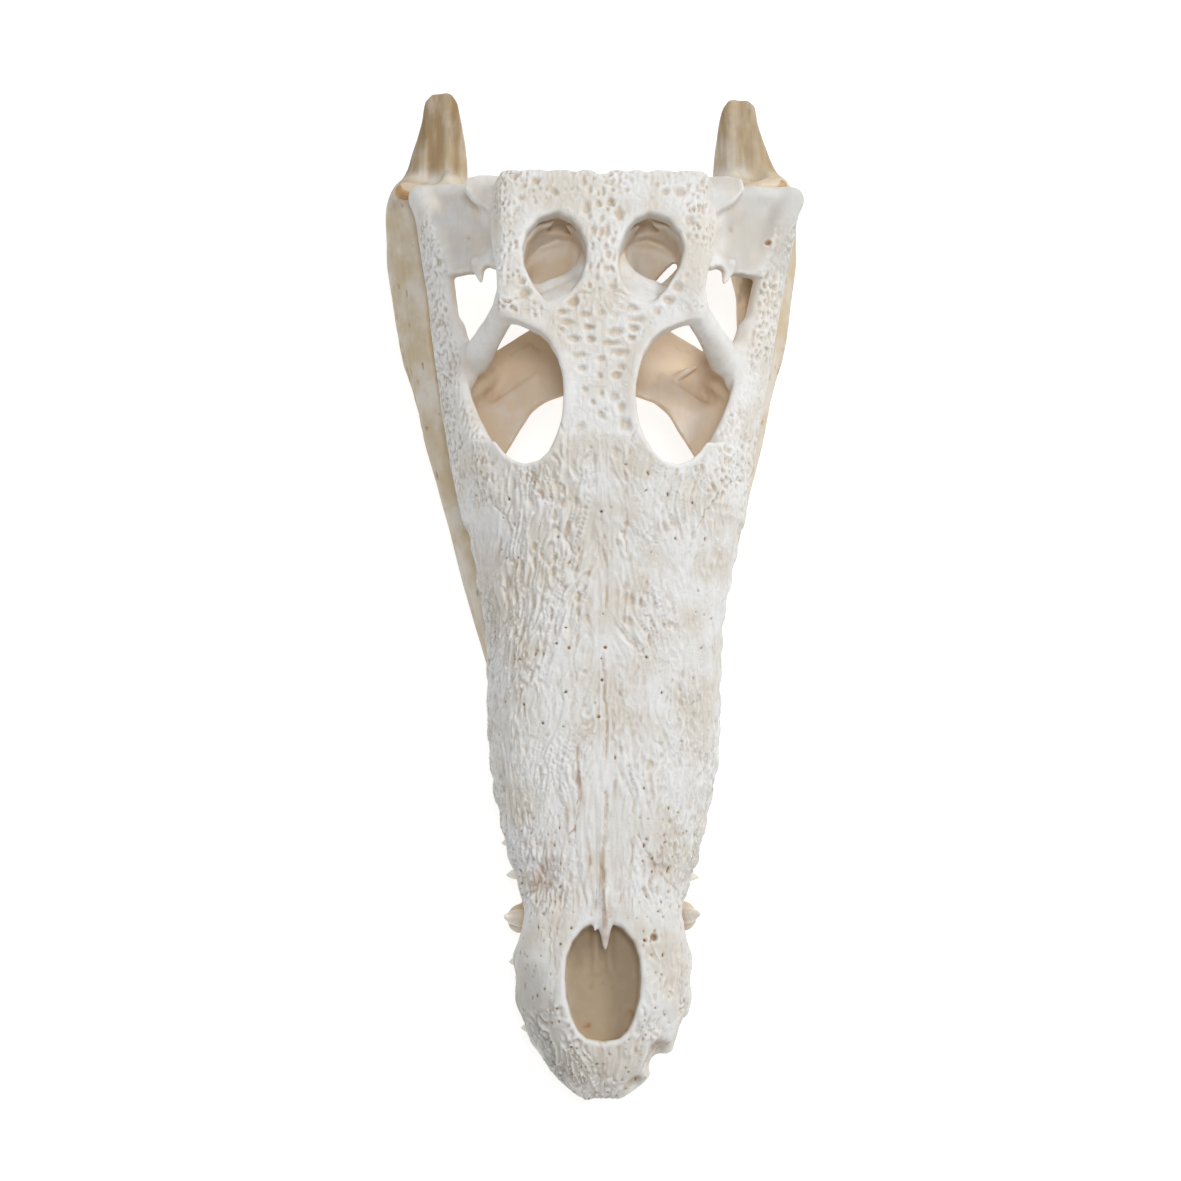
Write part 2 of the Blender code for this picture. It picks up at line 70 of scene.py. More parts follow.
# Landmarks along the skull, from the snout tip
NARIS_MIDDLE = 55
JAW_NOTCH = 90
SNOUT_BULGE = 176
ORBIT_MIDDLE = 340
TABLE_FRONT = 377
TABLE_REAR = 448
JAW_JOINT = 461

# Outline of the snout: station, half width
SNOUT_HALF_WIDTH = (
    (0, 9), (7, 20), (24, 32.5), (45, 41.5), (66, 43.5), (JAW_NOTCH, 39.5), (126, 49),
    (SNOUT_BULGE, 58), (228, 60), (270, 67), (318, 76),
)
# Roof of the skull along the midline: station, height
ROOF_HEIGHT = (
    (0, 41), (10, 49), (27, 57), (NARIS_MIDDLE, 62), (95, 62), (150, 68), (205, 76), (255, 86),
    (300, 102), (ORBIT_MIDDLE, 113), (TABLE_FRONT, 119), (TABLE_REAR, 123), (460, 123),
)
# Lower edge of the upper jaw, where its teeth grow: station, height
TOOTH_LINE = (
    (0, 33), (15, 30.5), (66, 30.5), (JAW_NOTCH, 39), (130, 34.5), (SNOUT_BULGE, 33.5), (228, 41),
    (270, 44), (318, 49),
)
SNOUT_BOXINESS = 2.7
JAW_EDGE = 4
PALATE_VAULT = 8
PALATE_FULL_HALF_WIDTH = 30

# Roof plate from the frontal bone to the rear edge of the skull table: station, half width
ROOF_HALF_WIDTH = ((284, 40), (330, 47), (TABLE_FRONT, 50), (TABLE_REAR, 53), (452, 51.5))
ROOF_THICKNESS = 10

# Outlines in plan of the openings on the +X side: x, station
ORBIT = (
    (38.5, 372.5), (30, 368.5), (25.5, 364.5), (20.5, 356), (18.3, 348), (17.3, 338), (18.5, 326),
    (21.5, 317), (25, 311), (31, 306.5), (38, 305.5), (44, 307.8), (49, 312.5), (55, 321.5), (61, 333.5),
    (65.5, 346), (69, 360), (68, 369), (60, 374), (48, 376),
)
SIDE_OPENING = (
    (53, 377), (64, 376.5), (69, 383), (71.6, 389.2), (73.2, 397.6), (75, 405), (74.4, 408.6),
    (71.6, 411.2), (68, 410.4), (65.2, 407.6), (63.4, 405), (62.6, 409), (60, 411.6), (56.8, 410.4),
    (54, 406.8), (52.6, 398.4), (51.6, 390),
)
TEMPORAL_OPENING = (
    (23, 429.2), (32, 426), (38, 419), (39.8, 410.5), (38.2, 401.5), (33, 391.5), (27.6, 384.6),
    (21.6, 382.6), (15.4, 387.6), (10.6, 395), (8.4, 403), (8.5, 411.5), (11.5, 420), (16, 425.8),
)
TEMPORAL_DEPTHS = (
    (23, 428.5), (32, 425.5), (37.5, 418.5), (39, 410), (38, 403.5), (35, 399.5), (30.5, 398.5),
    (24.5, 403), (18.5, 408.5), (12.5, 415), (12.5, 420.5), (16, 425),
)
NARIS = (
    (0, 27), (8, 28.5), (12, 32), (15.5, 39.5), (17.8, 48), (18.3, 57), (17.8, 67), (15, 74.5), (10, 80.5),
    (5, 83.3), (0, 84),
)
# The same, closed on the far side of the midline, for distances on the +X side
NARIS_HALF = NARIS + ((-8, 60),)
NARIS_FLOOR = 44
# Rear corner of the braincase in plan
LOBE = ((48, 430), (56, 437), (66, 443), (71.5, 450), (70.5, 455.5), (63, 457.5), (48, 456))

# Cheek bar (jugal) down the side of the skull: station, x, height, half thickness, half height
CHEEK_BAR = (
    (286, 60, 66, 9, 19), (312, 66.5, 66, 7.5, 16), (335, 72.5, 66, 6.5, 13.5),
    (357, 76.5, 67, 6.5, 12.5), (380, 80.5, 70, 7, 11), (400, 83.5, 72, 7, 10.5),
    (430, 89.5, 72.5, 7, 9.5), (461, 96, 70.5, 6, 7),
)
CHEEK_LEAN = math.radians(30)

# Half of the lower jaw: station, inner x, outer x, underside, top
RAMUS = (
    (14, -4, 8, 10, 20), (24, -4, 19, 3, 23.5), (40, -4, 28, 0, 25), (56, -4, 33, 0, 25),
    (72, 11, 35, 1, 26), (JAW_NOTCH, 25, 41, 1, 30), (126, 29, 40.5, 3, 26), (172, 31, 46.5, 4, 27),
    (210, 37, 56, 4, 31), (257, 50, 69, 3, 36), (311, 64, 83, 1, 42), (355, 75, 95, 0, 50),
    (390, 79, 104, 0, 55), (420, 79, 109, 2, 57), (445, 73, 112, 7, 58), (466, 69, 112, 15, 64),
    (477, 68, 109, 20, 63), (487, 67, 102.5, 27, 56), (505, 68.5, 95.5, 37, 57), (519, 70, 91.5, 45, 60),
    (528, 71.5, 90, 48, 62), (532, 74.5, 86.5, 52, 61),
)
RAMUS_LEAN = ((14, 0), (180, 0), (257, 5), (311, 5), (390, 6), (445, 5), (480, 2), (531, 0))
RAMUS_SQUARENESS = 0.82
SPUR_ROOT = 478
SPUR_STRETCH = {-1: 0.93, 1: 0.82}
JAW_TURN = math.radians(1.15)
JAW_TURN_STATION = 66
LEAN = 3.2
FLOOR_TRIM = 0.8
CHIN_GAP = 0.3

# Teeth: station, x, radius; or first station, last station, number
UPPER_FRONT_TEETH = ((9, 8, 2.3), (18, 20, 2.6), (31, 30.5, 3.0), (48, 37.5, 3.9), (67, 39, 3.0))
UPPER_CHEEK_TEETH = (103, 305, 14)
UPPER_TOOTH_INSET = 4.5
UPPER_TOOTH_RADIUS = 2.7
LARGEST_UPPER_TOOTH = 4.5
BIG_TOOTH_STATION = 168
BIG_TOOTH_SPREAD = 32
LAST_LONG_TOOTH = 230
# Upper teeth that show past the edge from above: side, station, x and height of the tip
OUTWARD_TEETH = (
    (-1, 124.8, 51.5, 34.5), (-1, 108.9, 49, 33), (-1, 66, 47, 29.5), (-1, 33.7, 40.5, 30.5),
    (1, 108.4, 48.5, 33),
)
LOWER_FRONT_TEETH = ((22, 8, 2.8), (38, 20, 2.4), (60, 27, 2.4))
LOWER_CANINE = (88, 41.5, 4.4)
LOWER_CANINE_LENGTH = 17
LOWER_CANINE_SPLAY = 0.42
LOWER_CHEEK_TEETH = (110, 284, 11)
LOWER_CHEEK_RADIUS = 2.4
LOWER_CHEEK_LENGTH = 6
TOOTH_ROOT = 5

JOINT_INNER = (74, JAW_JOINT, 62)
JOINT_OUTER = (96, JAW_JOINT - 1, 64)
JOINT_RADIUS = 6.8
JOINT_CLEARANCE = 0.3

# Planes across the cranium where one piece ends and the next begins
CRANIUM_CUTS = (
    ("snout_tip", 112), ("snout_middle", 208), ("snout_root", 296), ("orbit_region", 378),
    ("skull_table", 418), ("skull_rear", 500),
)
CUT_MARGIN = 3
CRANIUM_TRIANGLES = 700000
RAMUS_TRIANGLES = 180000

# Distances are kept this far on both sides of a surface, in mm
BAND = 8.0


# Sizes and colours that a user would change

def srgb(code):
    """Linear colour of an sRGB hex value."""
    values = [int(code[i:i + 2], 16) / 255 for i in (1, 3, 5)]
    return tuple(v / 12.92 if v <= 0.04045 else ((v + 0.055) / 1.055) ** 2.4 for v in values)


class SkullSizes(PropertyGroup):
    """Sizes of the bones' surface"""

    cranium_grain: FloatProperty(
        name="Cranium grain", description="Cell size that the cranium is modelled in",
        default=0.00072, unit="LENGTH", precision=5)
    jaw_grain: FloatProperty(
        name="Jaw grain", description="Cell size that the lower jaw is modelled in",
        default=0.00095, unit="LENGTH", precision=5)
    pit_depth: FloatProperty(
        name="Pit depth", description="Depth of the round pits on the skull table",
        default=0.0017, unit="LENGTH", precision=5)
    groove_depth: FloatProperty(
        name="Groove depth", description="Depth of the long grooves on the snout",
        default=0.0021, unit="LENGTH", precision=5)
    suture_depth: FloatProperty(
        name="Suture depth", description="Depth of the seams between neighbouring bones",
        default=0.0006, unit="LENGTH", precision=5)
    tooth_sides: IntProperty(
        name="Tooth sides", description="Number of sides round each tooth", default=20)


class SkullColours(PropertyGroup):
    """Colours of the bones, teeth and dried tissue"""

    bone: FloatVectorProperty(
        name="Bleached bone", description="Bone that the sun has bleached",
        default=srgb("#E8E7E5"), subtype="COLOR")
    warm_bone: FloatVectorProperty(
        name="Warm bone", description="Cloudy warmer patches of bleached bone",
        default=srgb("#DBD5CA"), subtype="COLOR")
    # Sheltered bone: tan of bone that sees little sky, partly its own colour and partly painted shade
    shaded_bone: FloatVectorProperty(
        name="Sheltered bone", description="Bone inside the openings, which stayed tan",
        default=srgb("#E2CDB2"), subtype="COLOR")
    jaw_bone: FloatVectorProperty(
        name="Jaw bone", description="Smooth cream bone of the lower jaw",
        default=srgb("#C9B797"), subtype="COLOR")
    amber: FloatVectorProperty(
        name="Amber stain", description="Brown and amber stains of dried tissue",
        default=srgb("#9A6A35"), subtype="COLOR")
    tooth: FloatVectorProperty(
        name="Tooth", description="Enamel of the teeth",
        default=srgb("#EFE9DC"), subtype="COLOR")
    tissue: FloatVectorProperty(
        name="Dried tissue", description="Dried cartilage round the jaw joints",
        default=srgb("#C09B6B"), subtype="COLOR")


# Curves and numbers

def profile(table, column=1):
    """Smooth curve through a table's column, as a function of the station, that never overshoots."""
    knots = np.array([row[0] for row in table], float)
    values = np.array([row[column] for row in table], float)
    steps = np.diff(values) / np.diff(knots)
    before, after = steps[:-1], steps[1:]
    inner = np.where(before * after > 0, 2 * before * after / (before + after + 1e-12), 0.0)
    slopes = np.concatenate((steps[:1], inner, steps[-1:]))

    def value(station):
        i = np.clip(np.searchsorted(knots, station) - 1, 0, len(knots) - 2)
        span = knots[i + 1] - knots[i]
        t = np.clip((station - knots[i]) / span, 0, 1)
        return (
            values[i] * (2 * t**3 - 3 * t**2 + 1) + slopes[i] * span * (t**3 - 2 * t**2 + t)
            + values[i + 1] * (3 * t**2 - 2 * t**3) + slopes[i + 1] * span * (t**3 - t**2)
        )

    return value


half_width = profile(SNOUT_HALF_WIDTH)
roof_height = profile(ROOF_HEIGHT)
tooth_line = profile(TOOTH_LINE)
roof_half_width = profile(ROOF_HALF_WIDTH)
cheek_x, cheek_z, cheek_thick, cheek_high = (profile(CHEEK_BAR, k) for k in (1, 2, 3, 4))
ramus_inner, ramus_outer, ramus_base, ramus_top = (profile(RAMUS, k) for k in (1, 2, 3, 4))
ramus_lean = profile(RAMUS_LEAN)


def fade(value, start, end):
    """0 before start and 1 after end, with a smooth step between. Start may be the larger."""
    t = np.clip((value - start) / (end - start), 0, 1)
    return t * t * (3 - 2 * t)


def signed_power(value, power):
    """A power of the size of a value, with the sign that the value had."""
    return np.sign(value) * np.abs(value) ** power


def bent_line(points, count):
    """Points along a smooth line (a clamped quadratic B-spline) that a few points steer."""
    steer = np.array(points, float)
    if len(steer) == 2:
        return np.linspace(steer[0], steer[1], count + 1)
    spans = len(steer) - 2
    knots = np.concatenate(([0, 0], np.arange(spans + 1), [spans, spans])).astype(float)
    line = []
    for t in np.linspace(0, spans, count + 1):
        k = min(int(t), spans - 1) + 2
        near = [steer[k - 2], steer[k - 1], steer[k]]
        for r in (1, 2):
            for j in range(2, r - 1, -1):
                low, high = knots[j + k - 2], knots[j + 1 + k - r]
                share = (t - low) / (high - low)
                near[j] = (1 - share) * near[j - 1] + share * near[j]
        line.append(near[2])
    return np.array(line)


def blended(first, second, reach):
    """The lesser of two distances, with a fillet of about reach where they meet."""
    share = np.clip(0.5 + 0.5 * (second - first) / max(reach, 0.01), 0, 1)
    return second + (first - second) * share - reach * share * (1 - share)


def chance(cells, seed):
    """A repeatable number from 0 to 1 for each whole-number cell."""
    mix = np.full(len(cells), seed * 2654435761 & 0x7FFFFFFF, np.int64)
    for axis, prime in zip(range(cells.shape[1]), (73856093, 19349663, 83492791)):
        mix ^= cells[:, axis] * prime
    mix &= 0x7FFFFFFF
    mix = ((mix ^ (mix >> 15)) * 1274126177) & 0x7FFFFFFF
    mix = ((mix ^ (mix >> 13)) * 1103515245) & 0x7FFFFFFF
    return (mix ^ (mix >> 16)) / 0x7FFFFFFF


def cloud(points, scale, seed):
    """Smooth noise from -1 to 1 with lumps of about scale mm, which may differ by direction."""
    place = points / np.array(scale, float)
    base = np.floor(place).astype(np.int64)
    part = place - base
    part = part * part * (3 - 2 * part)
    total = np.zeros(len(points))
    for corner in itertools.product((0, 1), repeat=points.shape[1]):
        weight = np.prod(np.where(corner, part, 1 - part), axis=1)
        total += weight * chance(base + np.array(corner), seed)
    return 2 * total - 1


def drifted(points, by, lump, seed):
    """Points moved about by noise, so that a pattern drawn on them is not regular."""
    return points + by * np.stack([cloud(points, lump, seed + k) for k in range(points.shape[1])], axis=1)


def pits(points, spacing, seed, keep, radii):
    """Scattered pits on a plane: 0 on open bone, up to 1 on a pit's floor. Radii are shares of spacing."""
    place = points / np.array(spacing, float)
    base = np.floor(place).astype(np.int64)
    deepest = np.zeros(len(points))
    for corner in itertools.product((-1, 0, 1), repeat=2):
        cell = base + np.array(corner)
        move = np.stack((chance(cell, seed), chance(cell, seed + 1)), axis=1)
        away = np.linalg.norm(place - cell - 0.5 - 0.6 * (move - 0.5), axis=1)
        luck = chance(cell, seed + 7)
        radius = radii[0] + (radii[1] - radii[0]) * luck / keep
        bowl = np.clip(1.7 * (1 - away / radius), 0, 1)
        deepest = np.maximum(deepest, np.where(luck < keep, bowl * (2 - bowl), 0))
    return deepest


def outline_distance(x, y, outline):
    """Distance in plan to the edge of a closed outline: negative inside."""
    least, inside = None, False
    for a, b in zip(outline, outline[1:] + outline[:1]):
        step_x, step_y = b[0] - a[0], b[1] - a[1]
        t = np.clip(((x - a[0]) * step_x + (y - a[1]) * step_y) / (step_x**2 + step_y**2), 0, 1)
        away = (x - a[0] - t * step_x) ** 2 + (y - a[1] - t * step_y) ** 2
        least = away if least is None else np.minimum(least, away)
        if step_y:
            crosses = ((a[1] > y) != (b[1] > y)) & (x < a[0] + (y - a[1]) * step_x / step_y)
            inside = inside ^ crosses
    return np.sqrt(least) * np.where(inside, -1, 1)


def mirrored_outline(outline, side):
    """An outline of the +X side, carried over to the given side."""
    return tuple((side * x, y) for x, y in outline)


def line_distance(points, line):
    """Distance in plan from each point to a line of points."""
    least = np.full(len(points), 1e3)
    for a, b in zip(line, line[1:]):
        step = b - a
        t = np.clip(((points - a) @ step) / (step @ step), 0, 1)
        least = np.minimum(least, np.hypot(*(points - a - t[:, None] * step).T))
    return least


# Shapes: each gives its lowest and highest corner and its distance at a place

def ellipsoid(centre, radii):
    """A rounded body, for a solid to add or cut."""
    centre, radii = np.array(centre, float), np.array(radii, float)

    def distance(x, y, z):
        parts = [c - m for c, m in zip((x, y, z), centre)]
        near = np.sqrt(sum((p / r) ** 2 for p, r in zip(parts, radii)))
        slope = np.sqrt(sum((p / r**2) ** 2 for p, r in zip(parts, radii))) + 1e-6
        return near * (near - 1) / slope

    return centre - radii, centre + radii, distance


def well(outline, floor, top=140):
    """Everything inside an outline from a floor up. The floor is a height, or gives one for each x, y."""
    corners = np.array(outline, float)
    depth = floor if callable(floor) else lambda x, y: floor

    def distance(x, y, z):
        return np.maximum(outline_distance(x, y, outline), np.maximum((depth(x, y) - z) * 0.8, z - top))

    lowest = 40 if callable(floor) else floor
    return np.append(corners.min(axis=0), lowest), np.append(corners.max(axis=0), top), distance


def bar(points, radii, count=10):
    """Round bar along a smooth line, thicker and thinner as the radii say."""
    line = bent_line(points, count)
    size = bent_line([(r,) for r in radii], count)[:, 0]

    def distance(x, y, z):
        least = None
        for a, b, thick, next_thick in zip(line, line[1:], size, size[1:]):
            step = b - a
            t = ((x - a[0]) * step[0] + (y - a[1]) * step[1] + (z - a[2]) * step[2]) / (step @ step)
            t = np.clip(t, 0, 1)
            away = np.sqrt(
                (x - a[0] - t * step[0]) ** 2 + (y - a[1] - t * step[1]) ** 2 + (z - a[2] - t * step[2]) ** 2
            )
            away = away - thick - t * (next_thick - thick)
            least = away if least is None else np.minimum(least, away)
        return least

    return line.min(axis=0) - max(radii), line.max(axis=0) + max(radii), distance


def lofted(rings):
    """Closed skin through rings that all have the same number of points."""
    rings = np.array(rings, float)
    count, size = rings.shape[:2]
    points = np.concatenate((rings.reshape(-1, 3), rings[:1].mean(axis=1), rings[-1:].mean(axis=1)))
    level, i = np.meshgrid(np.arange(count - 1), np.arange(size), indexing="ij")
    low, j = level * size, (i + 1) % size
    quads = np.stack((low + i, low + j, low + size + j, low + size + i), axis=-1).reshape(-1, 4)
    i, j = np.arange(size), (np.arange(size) + 1) % size
    first, last = np.full(size, count * size), np.full(size, count * size + 1)
    base = (count - 1) * size
    caps = np.concatenate((np.stack((first, j, i), axis=1), np.stack((last, base + i, base + j), axis=1)))
    return points, caps, quads


def sheet(corners, thickness, sag=0.0, cells=12):
    """Thin curved plate between four corners, as a closed skin."""
    front_in, front_out, rear_out, rear_in = (np.array(c, float) for c in corners)
    u, v = np.meshgrid(np.linspace(0, 1, cells + 1), np.linspace(0, 1, cells + 1), indexing="ij")
    u, v = u[..., None], v[..., None]
    middle = (front_in * (1 - u) + front_out * u) * (1 - v) + (rear_in * (1 - u) + rear_out * u) * v
    middle[..., 2:] -= sag * 4 * u * (1 - u)
    normal = np.cross(np.gradient(middle, axis=0), np.gradient(middle, axis=1))
    normal /= np.linalg.norm(normal, axis=-1, keepdims=True)
    rings = []
    for row in range(cells + 1):
        upper = middle[row] + normal[row] * thickness / 2
        lower = middle[row] - normal[row] * thickness / 2
        rings.append(np.concatenate((upper, lower[::-1])))
    return lofted(rings)


class Solid:
    """A solid on a grid of distances in mm, negative inside, that shapes are added to and cut from."""

    def __init__(self, low, high, step):
        self.step = step
        self.low = np.array(low, float)
        self.size = np.ceil((np.array(high) - self.low) / step).astype(int) + 1
        self.value = np.full(self.size, BAND, np.float32)

    def window(self, low, high, margin):
        """The cells between two corners, as slices and as open lists of coordinates."""
        first = np.floor((np.array(low) - margin - self.low) / self.step).astype(int)
        last = np.ceil((np.array(high) + margin - self.low) / self.step).astype(int) + 1
        first, last = np.clip(first, 0, self.size - 1), np.clip(last, 1, self.size)
        axes = [
            (corner + self.step * np.arange(a, b)).astype(np.float32)
            for corner, a, b in zip(self.low, first, last)]
        part = tuple(slice(a, b) for a, b in zip(first, last))
        return part, np.meshgrid(*axes, indexing="ij", sparse=True)

    def measured(self, shape, margin):
        """The cells near a shape and their distances to it."""
        if callable(shape[2]):
            part, place = self.window(shape[0], shape[1], margin)
            return part, shape[2](*place)
        points, triangles, quads = shape
        part, _ = self.window(points.min(axis=0), points.max(axis=0), BAND)
        grid = openvdb.FloatGrid.createLevelSetFromPolygons(
            ((points - self.low) / self.step).astype(np.float32), triangles=triangles.astype(np.uint32),
            quads=quads.astype(np.uint32), halfWidth=BAND / self.step)
        distance = np.empty([p.stop - p.start for p in part], np.float32)
        grid.copyToArray(distance, ijk=tuple(int(p.start) for p in part))
        return part, distance * self.step

    def add(self, shape, reach=3.0):
        """Join a shape on, with a fillet that reaches this far."""
        part, distance = self.measured(shape, reach + 2)
        self.value[part] = blended(self.value[part], distance, reach)

    def cut(self, shape, reach=1.5):
        """Cut a shape out, with an edge rounded this far."""
        part, distance = self.measured(shape, reach + 2)
        self.value[part] = -blended(-self.value[part], distance, reach)

    def soften(self, passes):
        """Round every edge a little, more with each pass."""
        for _ in range(passes):
            for axis in range(3):
                line = np.moveaxis(self.value, axis, 0)
                line[1:-1] = 0.25 * (line[:-2] + line[2:]) + 0.5 * line[1:-1]

    def skin(self):
        """Points and four-sided faces of the solid's surface."""
        grid = openvdb.FloatGrid(BAND)
        grid.copyFromArray(self.value)
        points, quads = grid.convertToQuads(0.0)
        return largest_body(points.astype(float) * self.step + self.low, quads.astype(np.int64))


def largest_body(points, faces):
    """Only the biggest connected surface, without crumbs and closed bubbles."""
    label = np.arange(len(points))
    while True:
        least = np.repeat(label[faces].min(axis=1), faces.shape[1])
        lower = label.copy()
        np.minimum.at(lower, faces.ravel(), least)
        lower = lower[lower]
        if (lower == label).all():
            break
        label = lower
    keep = label == np.bincount(label).argmax()
    order = np.cumsum(keep) - 1
    return points[keep], order[faces[keep[faces[:, 0]]]]


def vertex_normals(points, faces):
    """Smooth normals of a skin of four-sided faces."""
    across = np.cross(points[faces[:, 2]] - points[faces[:, 0]], points[faces[:, 3]] - points[faces[:, 1]])
    total = np.zeros((len(points), 3))
    for axis in range(3):
        weight = np.repeat(across[:, axis], 4)
        total[:, axis] = np.bincount(faces.ravel(), weights=weight, minlength=len(points))
    return total / (np.linalg.norm(total, axis=1, keepdims=True) + 1e-12)


# How far in mm a point lies out of its neighbours' middle in a full crease
FULL_CREASE = 0.055


def creases(points, faces, normals):
    """Fine hollows and edges of a skin: positive in a crease, negative along a raised edge."""
    count = np.bincount(faces.ravel(), minlength=len(points)) + 1e-9

    def around(values):
        middle = values[faces].mean(axis=1)
        return np.bincount(faces.ravel(), weights=np.repeat(middle, 4), minlength=len(points)) / count

    bend = sum((around(points[:, k]) - points[:, k]) * normals[:, k] for k in range(3))
    return np.clip(around(around(bend)) / FULL_CREASE, -1, 1)


# Cranium

def mirrored(point, side):
    """A point of the +X side, carried over to the given side."""
    return (point[0] * side, point[1], point[2])


def at(side, *points):
    """Points of the +X side, carried over to the given side."""
    return [mirrored(point, side) for point in points]


def snout_rings():
    """Premaxillae, maxillae, nasals and the bones in front of the orbits."""
    angle = np.linspace(0, 2 * np.pi, 56, endpoint=False)
    rings = []
    for y in np.linspace(0, 318, 90):
        half, top, base = half_width(y), roof_height(y), tooth_line(y)
        vault = PALATE_VAULT * min(1, half / PALATE_FULL_HALF_WIDTH)
        x = half * signed_power(np.cos(angle), 2 / SNOUT_BOXINESS)
        upper = base + JAW_EDGE + (top - base - JAW_EDGE) * np.abs(np.sin(angle)) ** (2 / SNOUT_BOXINESS)
        lower = base + vault * (1 - np.abs(x / half) ** 3)
        rings.append(np.stack((x, np.full_like(x, y), np.where(np.sin(angle) >= 0, upper, lower)), axis=1))
    return rings


def roof_rings():
    """Frontal bone and skull table: a thick plate, slightly dished along its middle."""
    angle = np.linspace(0, 2 * np.pi, 64, endpoint=False)
    rings = []
    for y in np.linspace(ROOF_HALF_WIDTH[0][0], ROOF_HALF_WIDTH[-1][0], 60):
        emerged = fade(y, 284, 322)
        across = signed_power(np.cos(angle), 0.35 + 0.5 * (1 - emerged))
        x = (0.35 + 0.65 * emerged) * roof_half_width(y) * across
        rise = signed_power(np.sin(angle), 0.5 + 0.4 * (1 - emerged))
        z = roof_height(y) - 3 * (1 - emerged) - ROOF_THICKNESS / 2 * (1 - rise)
        rings.append(np.stack((x, np.full_like(x, y), z), axis=1))
    return rings


def cheek_rings(side):
    """Jugal and quadratojugal along the side of the skull."""
    angle = np.linspace(0, 2 * np.pi, 32, endpoint=False)
    rings = []
    for y in np.linspace(CHEEK_BAR[0][0], CHEEK_BAR[-1][0], 50):
        across = cheek_thick(y) * np.cos(angle)
        up = cheek_high(y) * np.sin(angle)
        x = cheek_x(y) + across * math.cos(CHEEK_LEAN) - up * math.sin(CHEEK_LEAN)
        z = cheek_z(y) + across * math.sin(CHEEK_LEAN) + up * math.cos(CHEEK_LEAN)
        rings.append(np.stack((side * x, np.full_like(x, y), z), axis=1))
    return rings


def add_bars(solid, side, bars):
    """Add round bars of bone: each is its steering points, its radii and the reach of its fillet."""
    for points, radii, reach in bars:
        solid.add(bar(at(side, *points), radii), reach)


def add_side_bones(solid, side):
    """Cheek, quadrate and the flare of the skull table on one side."""
    solid.add(lofted(cheek_rings(side)), 4)
    quadrate = at(side, (51, 408, 103), (86, 413, 79), (98, 461, 70), (55, 450, 98))
    solid.add(sheet(quadrate, 6, sag=4), 3)
    head = JOINT_RADIUS - JOINT_CLEARANCE
    add_bars(solid, side, (
        (((38, 424, 102), (62, 443, 84), (85, 459, 66)), (9, 8.5, 7), 4),
        (((66, 455, 86), (80, 460, 77), (97, 460, 71)), (5, 5, 6), 4),
        (((80, 416, 82), (89, 438, 78), (97, 458, 73)), (3, 5, 6), 5),
        ((JOINT_INNER, JOINT_OUTER), (head, head), 3),
        (((34, 443, 108), (50, 446, 105), (60, 448, 102)), (9, 7, 5), 4),
    ))
    # Plate of the occiput beside the braincase
    solid.add(sheet(at(side, (7, 446, 106), (60, 449, 101), (50, 446, 85), (9, 442, 75)), 6), 4)
    add_bars(solid, side, ((((12, 449, 88), (30, 449, 92), (52, 449, 96)), (2, 3, 3), 3),))
    # Rear corner of the braincase, which stands out behind the skull table
    solid.add(well(mirrored_outline(LOBE, side), 98, 105.5), 5)
    # Outer rim of the orbit, from the lacrimal down to the jugal
    rim = ((52, 298, 81), (57, 312, 84), (62, 326, 81.5), (67, 341, 77), (71, 358, 75))
    add_bars(solid, side, ((rim, (9, 9, 8, 7, 5.5), 5),))
    # Walls round the temporal opening
    solid.add(ellipsoid(mirrored((25, 410, 92), side), (24, 30, 21)), 6)
    # Side of the skull table, smooth and flaring outwards
    flare = ((47, 383, 115), (50, 405, 114), (53.5, 427, 112), (51, 447, 114))
    add_bars(solid, side, ((flare, (4, 4, 4.2, 4), 3),))


def add_braces(solid, side):
    """Thin bars and plates between roof, cheek and palate, which the openings are not cut through."""
    add_bars(solid, side, (
        # Postorbital bar and its foot on the cheek, then a strut inside the orbit
        (((46, 383, 113), (54, 376, 98), (64, 368, 78)), (7, 5.2, 8.5), 4),
        (((68, 358, 74), (72, 370, 75), (75, 384, 75)), (4, 6.5, 5), 5),
        (((15, 308, 92), (10, 320, 80), (8, 326, 62)), (4, 3, 4), 4),
    ))
    # Pterygoid wing and its thicker outer edge
    solid.add(sheet(at(side, (0, 361, 59), (61, 342, 48), (60, 380, 45), (0, 412, 62)), 4.4, sag=-2), 4)
    add_bars(solid, side, (
        (((59, 348, 46), (61, 366, 43), (59, 382, 44)), (4, 5, 4.5), 3),
        (((60, 312, 54), (63, 335, 51), (60, 358, 48)), (6.5, 5, 5), 4),
    ))
    # Ectopterygoid
    solid.add(sheet(at(side, (32, 353, 55), (53, 317, 54), (66, 345, 51), (32, 366, 56)), 4.4), 5)
    add_bars(solid, side, ((((75, 350, 64), (66, 358, 57), (55, 370, 50)), (6.5, 5.5, 4.5), 4),))
    solid.add(sheet(at(side, (56, 308, 56), (70, 306, 62), (78, 362, 66), (61, 356, 50)), 5), 3)
    if side > 0:
        # Splint of bone along the seam in the wing
        splint = ((36, 363.5, 54.5), (43, 367.5, 56.5), (50, 371.5, 57))
        add_bars(solid, side, ((splint, (1.4, 2.6, 1.6), 2),))
    # Bony point on the rear edge of the side opening
    point = ((64.5, 414, 92.5), (63, 409, 92), (62, 404, 91.5))
    add_bars(solid, side, ((point, (3.6, 2.6, 1.0), 1.5),))
    # Raised upper rim of the orbit
    rim = [(x - 2.2, y, float(roof_height(y)) - 2.0) for x, y in ORBIT[3:9]]
    solid.add(bar(at(side, *rim), (1.8,) * 6, 18), 2.5)


